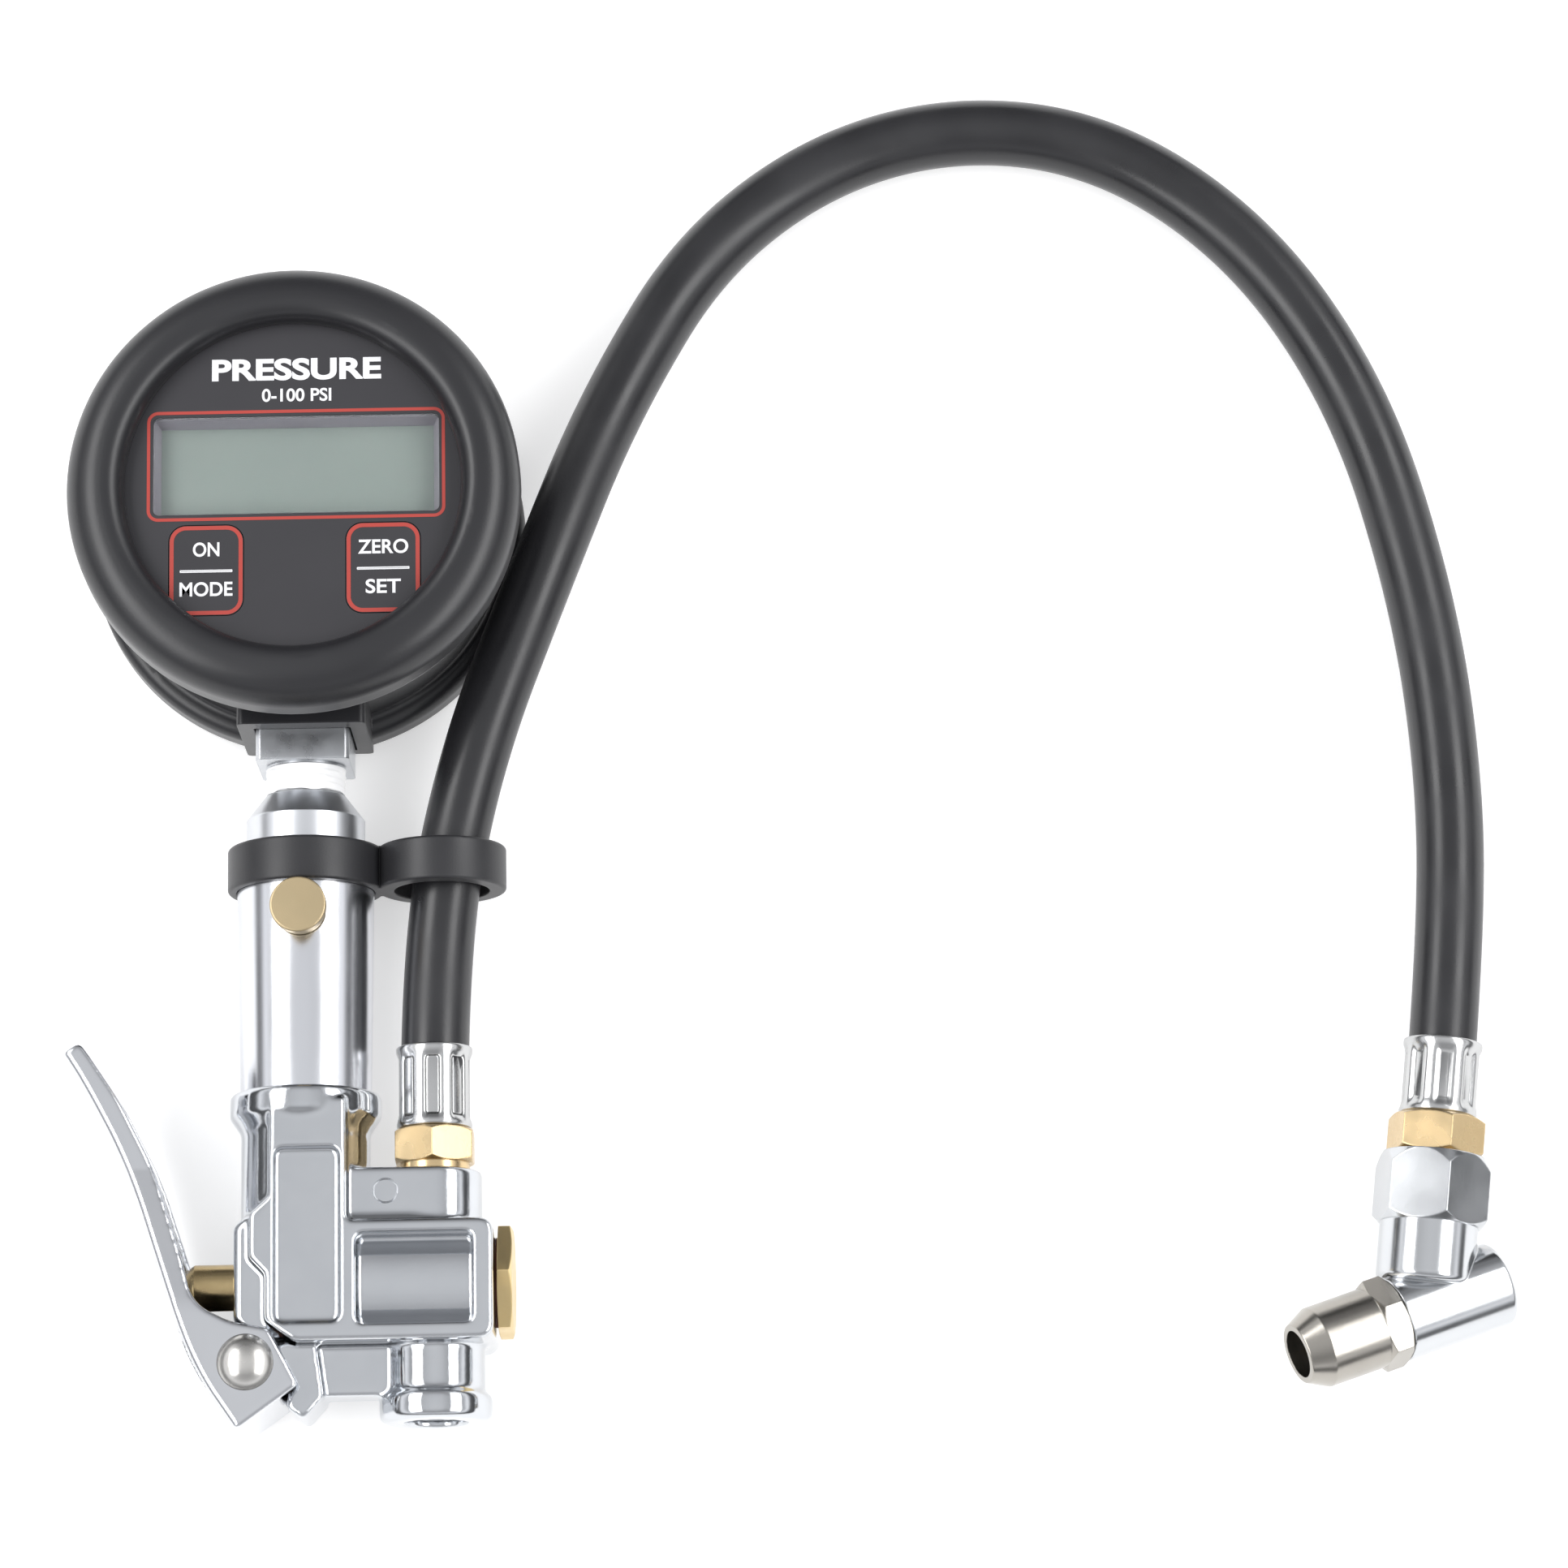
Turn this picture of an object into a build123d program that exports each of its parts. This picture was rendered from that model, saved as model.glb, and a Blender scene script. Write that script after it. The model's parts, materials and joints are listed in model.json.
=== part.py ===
from build123d import *
import math
import os

os.makedirs("parts", exist_ok=True)

# A hand-held tyre inflator with a digital gauge, lying on its back on a flat surface. Millimetres.
# The origin is the centre of the gauge boot's flat back. +Z is up, out of the gauge's face, and
# -Y runs down the handle from the gauge to the valve body. +X is the hose's side.
# A station is a distance down the handle from the gauge's own axis.

# Driving dimensions
AXIS_Z = 15.0  # the handle's axis over the surface
HOSE_DIAMETER = 12.7
HOSE_BORE = 6.35
BOOT_RADIUS = 42.1
BOOT_HEIGHT = 50.0
TUBE_TOP_RADIUS = 12.95
TUBE_BOTTOM_RADIUS = 12.25
TUBE_BORE_RADIUS = 9.8
PORT_X = 23.9  # hose port and air inlet share this axis
VALVE_STATION = 145.2
PIVOT = (-10.2, -160.5)
CHUCK_TURN = 7.0  # degrees, how far the chuck points back towards the handle
CHUCK_Z = 11.4
RUNNING_GAP = 0.06
GAP = 0.3  # between pieces that move past each other without touching

# Travel of what moves
LEVER_ANGLE = 14.0
LEVER_TO_PLUNGER = 17.2  # millimetres of plunger for each radian of lever
DEFLATOR_TRAVEL = 2.3
KEY_TRAVEL = 0.35
CHUCK_PIN_TRAVEL = 1.8

# Gauge
FACE_TOP_Z = 45.2
PANEL_THICKNESS = 1.1
CASE_RADIUS = 34.0
STEM_SIDE = 17.5
STEM_END = 47.0
WINDOW_CENTRE = (0.6, 3.95)
WINDOW_SIZE = (53.1, 18.8)
GLASS_SIZE = (50.7, 16.4)
KEY_CENTRES = ((-16.0, -16.15), (16.7, -16.15))
KEY_SIZE = (13.7, 17.2)
KEY_CORNER = 3.1
BOARD_Z = 34.9
BOARD_THICKNESS = 1.6
SCREW_CIRCLE = 27.0
BATTERY_Y = 14.5
BATTERY_DEPTH = 7.4  # the battery holder's foot below the board

# Deflator valve in the handle
DEFLATOR_STATION = 77.0
DEFLATOR_RADIUS = 4.5

# Where the gauge's stem, the handle's cap, the tube and the collar begin and end
TAPE_TOP = 47.4
CAP_TOP = 52.6
TUBE_TOP = 64.0
COLLAR_TOP = 109.6
TUBE_END = 121.0

# Valve body
PLATE_HALF = 13.2
BLOCK_HALF = 9.4
LUG_HALF = 7.6
BARREL_RADIUS = 16.0
BARREL_TOP = 8.8  # the barrel's crown over the handle's axis
PORT_RADIUS = 8.8
PORT_TOP = 124.4
INLET_END = 171.0
INLET_THREAD_RADIUS = 5.7
INLET_THREAD_LENGTH = 12.0
SCREEN_RADIUS = 4.6
CHAMBER_RADIUS = 6.6
CHAMBER_FROM_X = 13.5
PLUG_FACE_X = 35.4
PLUNGER_RADIUS = 4.3

# Lever
LEVER_HALF = 11.5
ARM_HALF = 8.0
SHEET = 1.7
LEVER_EDGE = 0.6  # the rounding of its long edges
RIVET_RADIUS = 2.5

# Chuck, measured from the hose ferrule's mouth down the chuck's own axis
FERRULE_LENGTH = 14.2
CHUCK_HEX_FLATS = 19.05
CHUCK_CROSS = 50.6  # where the cross barrel's axis meets the chuck's axis
BARREL_BACK = 16.0
MOUTH_REACH = 26.1
MOUTH_RADIUS = 4.5
SEAL_FROM = 18.4
SEAL_RADIUS = 4.8
SEAL_THICKNESS = 2.2

# The hose's route, from inside the body ferrule to inside the chuck ferrule. Chosen by hand.
HOSE_ROUTE = [
    (23.9, -115.6, 15.0),
    (23.9, -82.0, 15.0),
    (31.0, -46.0, 16.6),
    (44.6, -12.0, 20.4),
    (58.0, 24.0, 13.6),
    (78.5, 60.5, 6.5),
    (111.5, 80.4, 6.4),
    (149.0, 80.4, 6.4),
    (180.8, 59.8, 6.4),
    (202.4, 26.0, 6.4),
    (213.2, -16.0, 6.5),
    (216.4, -53.5, 8.6),
    (214.4, -86.0, 11.4),
    (210.8, -115.6, 11.4),
]


def handle_plane(x=0.0, station=0.0):
    """A plane across the handle whose normal runs down it."""
    return Plane(origin=(x, -station, AXIS_Z), x_dir=(1, 0, 0), z_dir=(0, -1, 0))


def valve_plane(x=0.0):
    """A plane across the valve's axis whose normal is +X."""
    return Plane(origin=(x, -VALVE_STATION, AXIS_Z), x_dir=(0, 1, 0), z_dir=(1, 0, 0))


def chuck_plane():
    """The plane at the chuck ferrule's mouth, its normal down the chuck."""
    turn = math.radians(CHUCK_TURN)
    mouth = (212.4, -102.8, CHUCK_Z)
    across = (math.cos(turn), -math.sin(turn), 0)
    return Plane(origin=mouth, x_dir=across, z_dir=(-math.sin(turn), -math.cos(turn), 0))


def barrel_plane():
    """The plane where the chuck's two axes cross, its normal out of the mouth."""
    crossing = chuck_plane().from_local_coords((0, 0, CHUCK_CROSS))
    heading = Vector(-0.914, -0.328, 0.235).normalized()
    return Plane(origin=crossing, x_dir=Vector(0, 0, 1).cross(heading), z_dir=heading)


def outline(points):
    """A flat face from corners given as (x, y, corner radius)."""
    corners = [(x, y) for x, y, radius in points]
    radii = [radius for x, y, radius in points]
    if not any(radii):
        return make_face(Polyline(*corners, close=True))
    return make_face(FilletPolyline(*corners, radius=radii, close=True))


def turned(plane, points):
    """A solid of revolution about a plane's normal, from (radius, height, corner radius)."""
    profile = Plane.XZ * outline(points)
    return plane.location * revolve(profile, Axis.Z)


def rod(plane, radius, start, end, at=(0, 0)):
    """A cylinder along a plane's normal, on it or beside it."""
    return plane.location * Pos(*at, start) * Cylinder(
        radius, end - start, align=(Align.CENTER, Align.CENTER, Align.MIN)
    )


def sleeve(plane, outer, inner, start, end):
    """A plain tube along a plane's normal."""
    return rod(plane, outer, start, end) - rod(plane, inner, start - 1, end + 1)


def ring_seal(plane, radius, section, at):
    """An O-ring about a plane's normal."""
    return plane.location * Pos(0, 0, at) * Torus(radius, section / 2)


def hexagon(plane, flats, start, end, turn=0.0, drops=(0.8, 0.8)):
    """A hexagonal prism along a plane's normal, its corners turned off over the drops given."""
    corner = flats / math.sqrt(3)
    outer = corner + 0.1
    height = end - start
    prism = extrude(RegularPolygon(corner, 6, rotation=turn), height)
    first, last = drops
    blank = [(0, 0, 0), (flats / 2, 0, 0), (outer, first, 0), (outer, height - last, 0),
             (flats / 2, height, 0), (0, height, 0)]
    return plane.location * Pos(0, 0, start) * (prism & turned(Plane.XY, blank))


def block(low, high):
    """A box between two corners."""
    size = [b - a for a, b in zip(low, high)]
    return Pos(*low) * Box(*size, align=(Align.MIN, Align.MIN, Align.MIN))


def plate(points, low_z, high_z):
    """An outline in plan, between two heights."""
    return Pos(0, 0, low_z) * extrude(outline(points), high_z - low_z)


def rounded_plate(centre, size, corner, low_z, high_z):
    """A rectangle with rounded corners, between two heights."""
    face = Pos(*centre) * RectangleRounded(size[0], size[1], corner)
    return Pos(0, 0, low_z) * extrude(face, high_z - low_z)


def coil(plane, radius, wire, start, end, turns):
    """A helical spring along a plane's normal."""
    height = end - start - wire
    path = Helix(pitch=height / turns, height=height, radius=radius)
    section = Plane(origin=path @ 0, z_dir=path % 0) * Circle(wire / 2)
    return plane.location * Pos(0, 0, start + wire / 2) * sweep(section, path)


def both_sides(solid):
    """A solid and its mirror image through the handle's mid-plane."""
    return solid + mirror(solid, Plane.XY.offset(AXIS_Z))


# Gauge head


def gauge_boot():
    """The rubber boot: a rear flange, a waist, a thick front ring and the stem's sleeve."""
    shell = turned(Plane.XY, [
        (0, 0, 0), (41.5, 0, 4.5), (41.5, 10.5, 2.6), (37.4, 10.5, 1.4), (37.4, 35.5, 1.5),
        (BOOT_RADIUS, 35.5, 3.2), (BOOT_RADIUS, BOOT_HEIGHT, 7.0), (31.2, BOOT_HEIGHT, 3.4),
        (31.2, FACE_TOP_Z + GAP, 0), (34.3, FACE_TOP_Z + GAP, 0), (34.3, 2.5, 1.0), (0, 2.5, 0),
    ])
    neck = block((-12.0, -41.2, 2.8), (12.0, -35.0, 28.0))
    neck = fillet(neck.edges().filter_by(Axis.Y), 1.2)
    half = STEM_SIDE / 2 + GAP
    opening = block((-half, -50, AXIS_Z - half), (half, -30, AXIS_Z + half))
    cavity = rod(Plane.XY, 34.3, 2.5, FACE_TOP_Z + GAP)
    return shell + (neck - cavity) - opening


def screw_places():
    """The four board screws' places in plan."""
    return [Pos(SCREW_CIRCLE * math.cos(math.radians(a)), SCREW_CIRCLE * math.sin(math.radians(a)))
            for a in (50, 130, 240, 300)]


def gauge_case():
    """The cup that holds the works, with four posts for the board."""
    wall = 1.8
    rim_z = FACE_TOP_Z - PANEL_THICKNESS - 0.1
    cup = rod(Plane.XY, CASE_RADIUS, 2.8, rim_z) - rod(Plane.XY, CASE_RADIUS - wall, 2.8 + wall, 60)
    cup -= rod(Plane.XY, CASE_RADIUS - 0.8, rim_z - 1.0, rim_z + 1)  # room for the keys' corners
    half = STEM_SIDE / 2 + GAP
    cup -= block((-half, -50, AXIS_Z - half), (half, -25, AXIS_Z + half))
    for place in screw_places():
        cup += place * rod(Plane.XY, 2.6, 2.8 + wall, BOARD_Z - 0.05)
    for place in screw_places():
        cup -= place * rod(Plane.XY, 0.95, BOARD_Z - 11, BOARD_Z + 1)
    return cup


def face_panel():
    """The black panel, with the display's window and the two key openings."""
    low = FACE_TOP_Z - PANEL_THICKNESS
    panel = rod(Plane.XY, CASE_RADIUS - 0.1, low, FACE_TOP_Z)
    panel -= rounded_plate(WINDOW_CENTRE, WINDOW_SIZE, 1.2, low - 1, FACE_TOP_Z + 1)
    for centre in KEY_CENTRES:
        size = [side + 0.3 for side in KEY_SIZE]
        panel -= rounded_plate(centre, size, KEY_CORNER + 0.15, low - 1, FACE_TOP_Z + 1)
    return panel


def display_window():
    """The clear pane in the panel's window."""
    size = [side - 0.1 for side in WINDOW_SIZE]
    return rounded_plate(WINDOW_CENTRE, size, 1.15, FACE_TOP_Z - 0.9, FACE_TOP_Z - 0.15)


def display_frame():
    """The sloping frame between the pane and the display's glass."""
    top = FACE_TOP_Z - 1.15
    low = top - 2.8
    outer = rounded_plate(WINDOW_CENTRE, (55.4, 20.8), 1.6, low, top)
    wide = Pos(*WINDOW_CENTRE, top + 0.01) * Rectangle(*[side - 0.4 for side in WINDOW_SIZE])
    narrow = Pos(*WINDOW_CENTRE, low - 0.01) * Rectangle(*GLASS_SIZE)
    return outer - loft([narrow, wide])


def lcd_panel():
    """The display's glass, under its frame."""
    top = FACE_TOP_Z - 4.0
    return rounded_plate(WINDOW_CENTRE, (55.0, 20.4), 0.4, top - 2.6, top)


def circuit_board():
    """The round board that carries the display, the switches and the battery."""
    board = rod(Plane.XY, 30.4, BOARD_Z, BOARD_Z + BOARD_THICKNESS)
    for place in screw_places():
        board -= place * rod(Plane.XY, 1.3, BOARD_Z - 1, BOARD_Z + 3)
    return board


def board_screws():
    """Four pan-head screws through the board into the case's posts."""
    top = BOARD_Z + BOARD_THICKNESS
    screws = []
    for place in screw_places():
        head = rod(Plane.XY, 2.1, top + 0.02, top + 1.5)
        shank = rod(Plane.XY, 0.9, BOARD_Z - 9, top + 0.1)
        cross = block((-1.3, -0.25, top + 0.9), (1.3, 0.25, top + 2))
        cross += block((-0.25, -1.3, top + 0.9), (0.25, 1.3, top + 2))
        screws.append(place * (head + shank - cross))
    return Compound(children=[screw for screw in screws])


def battery_holder():
    """The cup under the board that holds the coin cell."""
    foot = BOARD_Z - BATTERY_DEPTH
    cup = rod(Plane.XY, 13.6, foot, BOARD_Z - 0.1) - rod(Plane.XY, 12.25, foot - 1, foot + 5.6)
    return Pos(0, BATTERY_Y) * cup


def battery():
    """A coin cell with a stepped rim."""
    cell = turned(Plane.XY, [(0, 0.2, 0), (11.0, 0.2, 0.2), (11.0, 1.0, 0), (12.1, 1.0, 0.3),
                             (12.1, 5.4, 0.4), (0, 5.4, 0)])
    return Pos(0, BATTERY_Y, BOARD_Z - BATTERY_DEPTH) * cell


def key_switches():
    """Two dome switches on the board, one under each key."""
    low = BOARD_Z + BOARD_THICKNESS + 0.02
    dome_top = FACE_TOP_Z - PANEL_THICKNESS - KEY_TRAVEL - 0.15
    switches = []
    for x, y in KEY_CENTRES:
        base = block((-3, -3, low), (3, 3, dome_top - 1.2))
        switches.append(Pos(x, y) * (base + rod(Plane.XY, 1.7, low + 1, dome_top)))
    return Compound(children=[switch for switch in switches])


def key(centre):
    """One of the two flat keys, flush with the panel."""
    return rounded_plate(centre, KEY_SIZE, KEY_CORNER, FACE_TOP_Z - PANEL_THICKNESS, FACE_TOP_Z)


def gauge_stem():
    """The square stem, its collar and its threaded spigot, bored through."""
    plane = handle_plane()
    square = plane.location * Pos(0, 0, 20) * extrude(Rectangle(STEM_SIDE, STEM_SIDE), STEM_END - 20)
    square = chamfer(square.edges().filter_by(Axis.Y), 0.7)
    spigot = turned(plane, [(0, 46, 0), (7.4, 46, 0), (7.4, 47.3, 0), (6.5, 47.3, 0), (6.5, 60.5, 0),
                            (5.9, 61.2, 0), (0, 61.2, 0)])
    return square + spigot - rod(plane, 1.8, 0, 70) - rod(plane, 4.0, 19, 24)


def thread_tape():
    """The sealing tape wound on the stem's thread."""
    return sleeve(handle_plane(), 7.65, 6.55, TAPE_TOP, CAP_TOP - 0.05)


def pressure_sensor():
    """The sensor screwed into the stem's inner end."""
    plane = handle_plane()
    return rod(plane, 6.5, 9.0, 19.9) + rod(plane, 3.9, 19.5, 23.5) - rod(plane, 1.0, 15, 24)


# Handle


def handle_cap():
    """The cone adaptor that joins the gauge's stem to the handle tube."""
    groove_from, groove_to = 65.2, 66.8
    cap = turned(handle_plane(), [
        (6.62, CAP_TOP, 0), (7.6, CAP_TOP, 0.3), (11.15, 57.3, 0.4), (11.15, TUBE_TOP - 0.02, 0),
        (9.72, TUBE_TOP - 0.02, 0), (9.72, groove_from, 0), (8.6, groove_from, 0),
        (8.6, groove_to, 0), (9.72, groove_to, 0), (9.72, 68.4, 0.3), (4.0, 68.4, 0),
        (4.0, 62.5, 0), (6.62, 62.5, 0),
    ])
    return cap


def cap_seal():
    """The O-ring in the cap's groove."""
    return ring_seal(handle_plane(), 9.2, 1.1, 66.0)


def handle_tube():
    """The chromed tube, a little narrower towards the valve body, with the deflator's hole."""
    spigot = 10.0
    tube = turned(handle_plane(), [
        (TUBE_BORE_RADIUS, TUBE_TOP, 0), (TUBE_TOP_RADIUS, TUBE_TOP, 0.4),
        (TUBE_BOTTOM_RADIUS, COLLAR_TOP - 0.02, 0), (spigot, COLLAR_TOP - 0.02, 0),
        (spigot, TUBE_END, 0.3), (8.4, TUBE_END, 0), (8.4, 108.0, 0), (TUBE_BORE_RADIUS, 107.0, 0),
    ])
    return tube - Pos(0, -DEFLATOR_STATION) * rod(Plane.XY, DEFLATOR_RADIUS + 0.1, AXIS_Z, 40)


def tube_seal():
    """The O-ring at the bottom of the collar's socket."""
    return ring_seal(handle_plane(), 9.15, 1.4, TUBE_END + 0.85)


def hose_clip():
    """The rubber figure-of-eight band round the handle and the hose."""
    handle_hole = TUBE_TOP_RADIUS + 0.05
    hose_centre, hose_hole = 25.5, 9.0
    plane = handle_plane()
    side_plane = handle_plane(hose_centre)
    start, end = 62.8, 71.0
    band = rod(plane, 14.6, start, end) + rod(side_plane, 12.1, start, end)
    band = fillet(band.edges().filter_by(GeomType.CIRCLE), 0.6)
    return band - rod(plane, handle_hole, 0, 100) - rod(side_plane, hose_hole, 0, 100)


def deflator_plane():
    """The deflator button's axis, upwards through the front of the tube."""
    return Plane(origin=(0, -DEFLATOR_STATION, 0))


def tube_bore():
    """The space inside the handle tube, less a hair."""
    return rod(handle_plane(), TUBE_BORE_RADIUS - 0.03, TUBE_TOP, 107)


def deflator_button():
    """The brass button: a flat head on a round body."""
    return turned(deflator_plane(), [
        (1.65, 20.8, 0), (DEFLATOR_RADIUS, 20.8, 0.3), (DEFLATOR_RADIUS, 31.9, 0),
        (5.2, 31.9, 0.15), (5.2, 34.2, 0.35), (0, 34.3, 0), (0, 25.0, 0), (1.65, 25.0, 0),
    ])


def deflator_disc():
    """The disc that carries the seal, on a stud in the button."""
    return turned(deflator_plane(), [(0, 17.4, 0), (6.2, 17.4, 0.3), (6.2, 18.9, 0.3),
                                     (1.6, 18.9, 0), (1.6, 24.8, 0.2), (0, 24.8, 0)])


def deflator_seal():
    """The rubber washer on the disc."""
    return sleeve(deflator_plane(), 6.0, 1.65, 18.95, 20.3)


def deflator_seat():
    """The bushing inside the tube that guides the button and takes the seal."""
    bush = rod(deflator_plane(), 6.8, 20.6, 28) & tube_bore()
    return bush - rod(deflator_plane(), DEFLATOR_RADIUS + RUNNING_GAP, 0, 40)


def spring_cup():
    """The cup opposite the button that locates its spring."""
    cup = rod(deflator_plane(), 5.6, 4, 8.6) & tube_bore()
    return cup - rod(deflator_plane(), 4.5, 7.4, 10)


def deflator_spring():
    """The spring that lifts the button."""
    return coil(deflator_plane(), 3.7, 0.8, 7.5, 17.3, 5)


# Valve body


def plate_outline():
    """The raised plate on the casting's faces, with its cut-away for the lever's cheek."""
    return [
        (-5.8, -112.0, 0), (-5.8, -130.1, 0.6), (-9.5, -133.4, 0.8), (-9.5, -141.4, 0.8),
        (-6.6, -144.5, 0.8), (-6.6, -153.0, 1.5), (-3.6, -155.4, 1.5), (-1.2, -157.0, 1.0),
        (35.2, -157.0, 2.6), (35.2, -134.8, 2.4), (8.3, -134.8, 1.2), (8.3, -112.0, 0),
    ]


def body_castings():
    """The casting before it is bored."""
    handle = handle_plane()
    port = handle_plane(PORT_X)
    low, high = AXIS_Z - BLOCK_HALF, AXIS_Z + BLOCK_HALF
    collar = turned(handle, [
        (0, COLLAR_TOP, 0), (13.5, COLLAR_TOP, 0), (14.1, COLLAR_TOP + 0.6, 0.3),
        (14.1, 113.9, 0.3), (12.0, 117.0, 0.5), (12.0, 134.0, 0), (0, 134.0, 0),
    ])
    core = plate([(-12.7, -135.2, 1.5), (-10.4, -132.9, 1.0), (20.0, -132.9, 0), (34.8, -135.2, 2.0),
                  (34.8, -156.6, 2.0), (-9.0, -156.6, 1.5), (-12.7, -152.4, 1.5)], low, high)
    core = fillet(core.edges().filter_by(GeomType.LINE).filter_by(Plane.XY), 1.6)
    raised = plate(plate_outline(), AXIS_Z - PLATE_HALF, AXIS_Z + PLATE_HALF)
    faces = raised.faces().filter_by(Axis.Z)
    raised = fillet(faces.edges(), 0.8)
    port_block = rod(port, PORT_RADIUS, PORT_TOP, 140)
    port_block += block((7.5, -140, AXIS_Z - PORT_RADIUS), (PORT_X, -PORT_TOP, AXIS_Z + PORT_RADIUS))
    port_block = fillet(port_block.faces().sort_by(Axis.Y)[-1].edges(), 0.7)
    web = plate([(-5.5, -155.0, 0), (16.0, -155.0, 0), (16.0, -166.2, 0), (-1.5, -166.2, 0)],
                AXIS_Z - 4.5, AXIS_Z + 4.5)
    boss = turned(port, [
        (0, 154, 0), (9.15, 154, 0), (9.15, 165.2, 0.8), (10.45, 166.4, 0.8),
        (10.45, INLET_END, 1.6), (0, INLET_END, 0),
    ])
    return collar + core + raised + port_block + web + boss


def lever_lug():
    """The lug that the lever turns on, with the nose that stops it."""
    low, high = AXIS_Z - LUG_HALF, AXIS_Z + LUG_HALF
    lug = plate([(-13.5, -154.0, 0), (2.0, -154.0, 0), (3.8, -166.6, 1.0), (0.1, -170.6, 1.0),
                 (-2.9, -168.5, 0.6), (-2.9, -163.5, 0), (-8.0, -163.5, 0), (-14.5, -158.0, 0)],
                low, high)
    return lug + rod(Plane.XY, 5.0, low, high, at=PIVOT)


def valve_body():
    """The chromed die-casting: collar, raised plates, hose port, barrel, inlet and lever lug."""
    handle = handle_plane()
    port = handle_plane(PORT_X)
    valve = valve_plane()
    body = body_castings()
    pocket = rounded_plate((1.1, -137.5), (12.1, 32.4), 1.6, AXIS_Z + PLATE_HALF - 1.5, 40)
    window = rounded_plate((20.75, -145.7), (21.5, 16.8), 1.4, AXIS_Z, 40)
    axis = Plane(origin=(0, -VALVE_STATION, AXIS_Z + BARREL_TOP - BARREL_RADIUS), z_dir=(1, 0, 0))
    barrel = rod(axis, BARREL_RADIUS, 5, 34) & window
    body -= both_sides(pocket) + both_sides(window - barrel)
    body += lever_lug()
    mark = Plane(origin=(15.3, -129.0, AXIS_Z + PORT_RADIUS - 0.15))
    body -= sleeve(mark, 2.35, 2.05, 0, 2)
    # The handle's socket and its passage to the valve
    body -= rod(handle, 10.03, COLLAR_TOP - 1, 123.2)
    body -= rod(handle, 4.2, 120, VALVE_STATION)
    # The hose port, tapped, and the drilling that joins it to the handle's passage
    body -= rod(port, 5.6, PORT_TOP - 1, 134.0)
    body -= rod(Plane(origin=(0, -130.0, AXIS_Z), x_dir=(0, 1, 0), z_dir=(1, 0, 0)), 2.6, 0, PORT_X)
    # The air inlet, tapped, and its passage to the valve chamber
    body -= rod(port, INLET_THREAD_RADIUS, INLET_END - INLET_THREAD_LENGTH, INLET_END + 1)
    body -= rod(port, SCREEN_RADIUS, 157.5, 160)
    body -= rod(port, 3.6, VALVE_STATION, INLET_END)
    # The valve's own bores: plunger guide, outlet space, chamber
    body -= rod(valve, PLUNGER_RADIUS + RUNNING_GAP, -20, 2)
    body -= rod(valve, 5.2, -3.0, 9.0)
    body -= rod(valve, CHAMBER_RADIUS, 9.0, 40)
    # The lever's pivot hole
    return body - rod(Plane.XY, RIVET_RADIUS + 1.0, -5, 40, at=PIVOT)


def plunger():
    """The brass push rod from the lever to the poppet, domed at the lever's end."""
    plane = valve_plane()
    dome = rod(plane, PLUNGER_RADIUS, -25, -18) & plane.location * Pos(0, 0, -17.85) * Sphere(5.0)
    return dome + turned(plane, [
        (0, -18.1, 0), (PLUNGER_RADIUS, -18.1, 0), (PLUNGER_RADIUS, -10.2, 0), (3.1, -10.2, 0),
        (3.1, -8.2, 0), (PLUNGER_RADIUS, -8.2, 0), (PLUNGER_RADIUS, -4.0, 0.3), (1.7, -4.0, 0),
        (1.7, 9.6, 0), (0, 9.6, 0),
    ])


def plunger_seal():
    """The O-ring in the plunger's groove."""
    return ring_seal(valve_plane(), 3.68, 1.1, -9.2)


def valve_seat():
    """The brass seat ring pressed into the chamber."""
    return turned(valve_plane(), [(3.2, 9.03, 0), (CHAMBER_RADIUS - 0.02, 9.03, 0),
                                  (CHAMBER_RADIUS - 0.02, 12.0, 0), (4.6, 12.0, 0),
                                  (4.0, 13.2, 0.2), (3.2, 13.2, 0.2)])


def poppet():
    """The poppet that the spring holds on the seat."""
    return turned(valve_plane(), [(0, 9.8, 0), (1.7, 9.8, 0), (1.7, 13.7, 0), (2.2, 13.7, 0),
                                  (2.2, 15.2, 0), (5.4, 15.2, 0.3), (5.4, 16.8, 0.3),
                                  (2.4, 16.8, 0), (2.4, 20.4, 0.4), (0, 20.4, 0)])


def poppet_seal():
    """The rubber washer on the poppet's face."""
    return sleeve(valve_plane(), 5.2, 2.25, 13.55, 15.15)


def valve_spring():
    """The spring behind the poppet."""
    return coil(valve_plane(), 3.6, 0.9, 16.9, 31.4, 6)


def valve_plug():
    """The brass hexagon plug that closes the valve chamber."""
    plane = valve_plane()
    head = hexagon(plane, 19.0, PLUG_FACE_X + 0.25, 38.4, turn=26.0, drops=(0.1, 0.5))
    return head + turned(plane, [
        (0, 28.0, 0), (2.4, 28.0, 0.3), (2.4, 31.5, 0), (CHAMBER_RADIUS - 0.04, 31.5, 0.3),
        (CHAMBER_RADIUS - 0.04, 36.1, 0), (0, 36.1, 0),
    ])


def plug_washer():
    """The fibre washer under the plug's head."""
    return sleeve(valve_plane(), 8.3, CHAMBER_RADIUS, PLUG_FACE_X - 0.15, PLUG_FACE_X + 0.22)


def inlet_screen():
    """The filter disc at the bottom of the air inlet."""
    port = handle_plane(PORT_X)
    screen = rod(port, SCREEN_RADIUS - 0.05, 157.6, 158.5)
    for step in range(6):
        angle = math.radians(60 * step)
        screen -= rod(port, 0.8, 157, 160, at=(2.6 * math.cos(angle), 2.6 * math.sin(angle)))
    return screen - rod(port, 0.8, 157, 160)


# Lever


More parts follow.
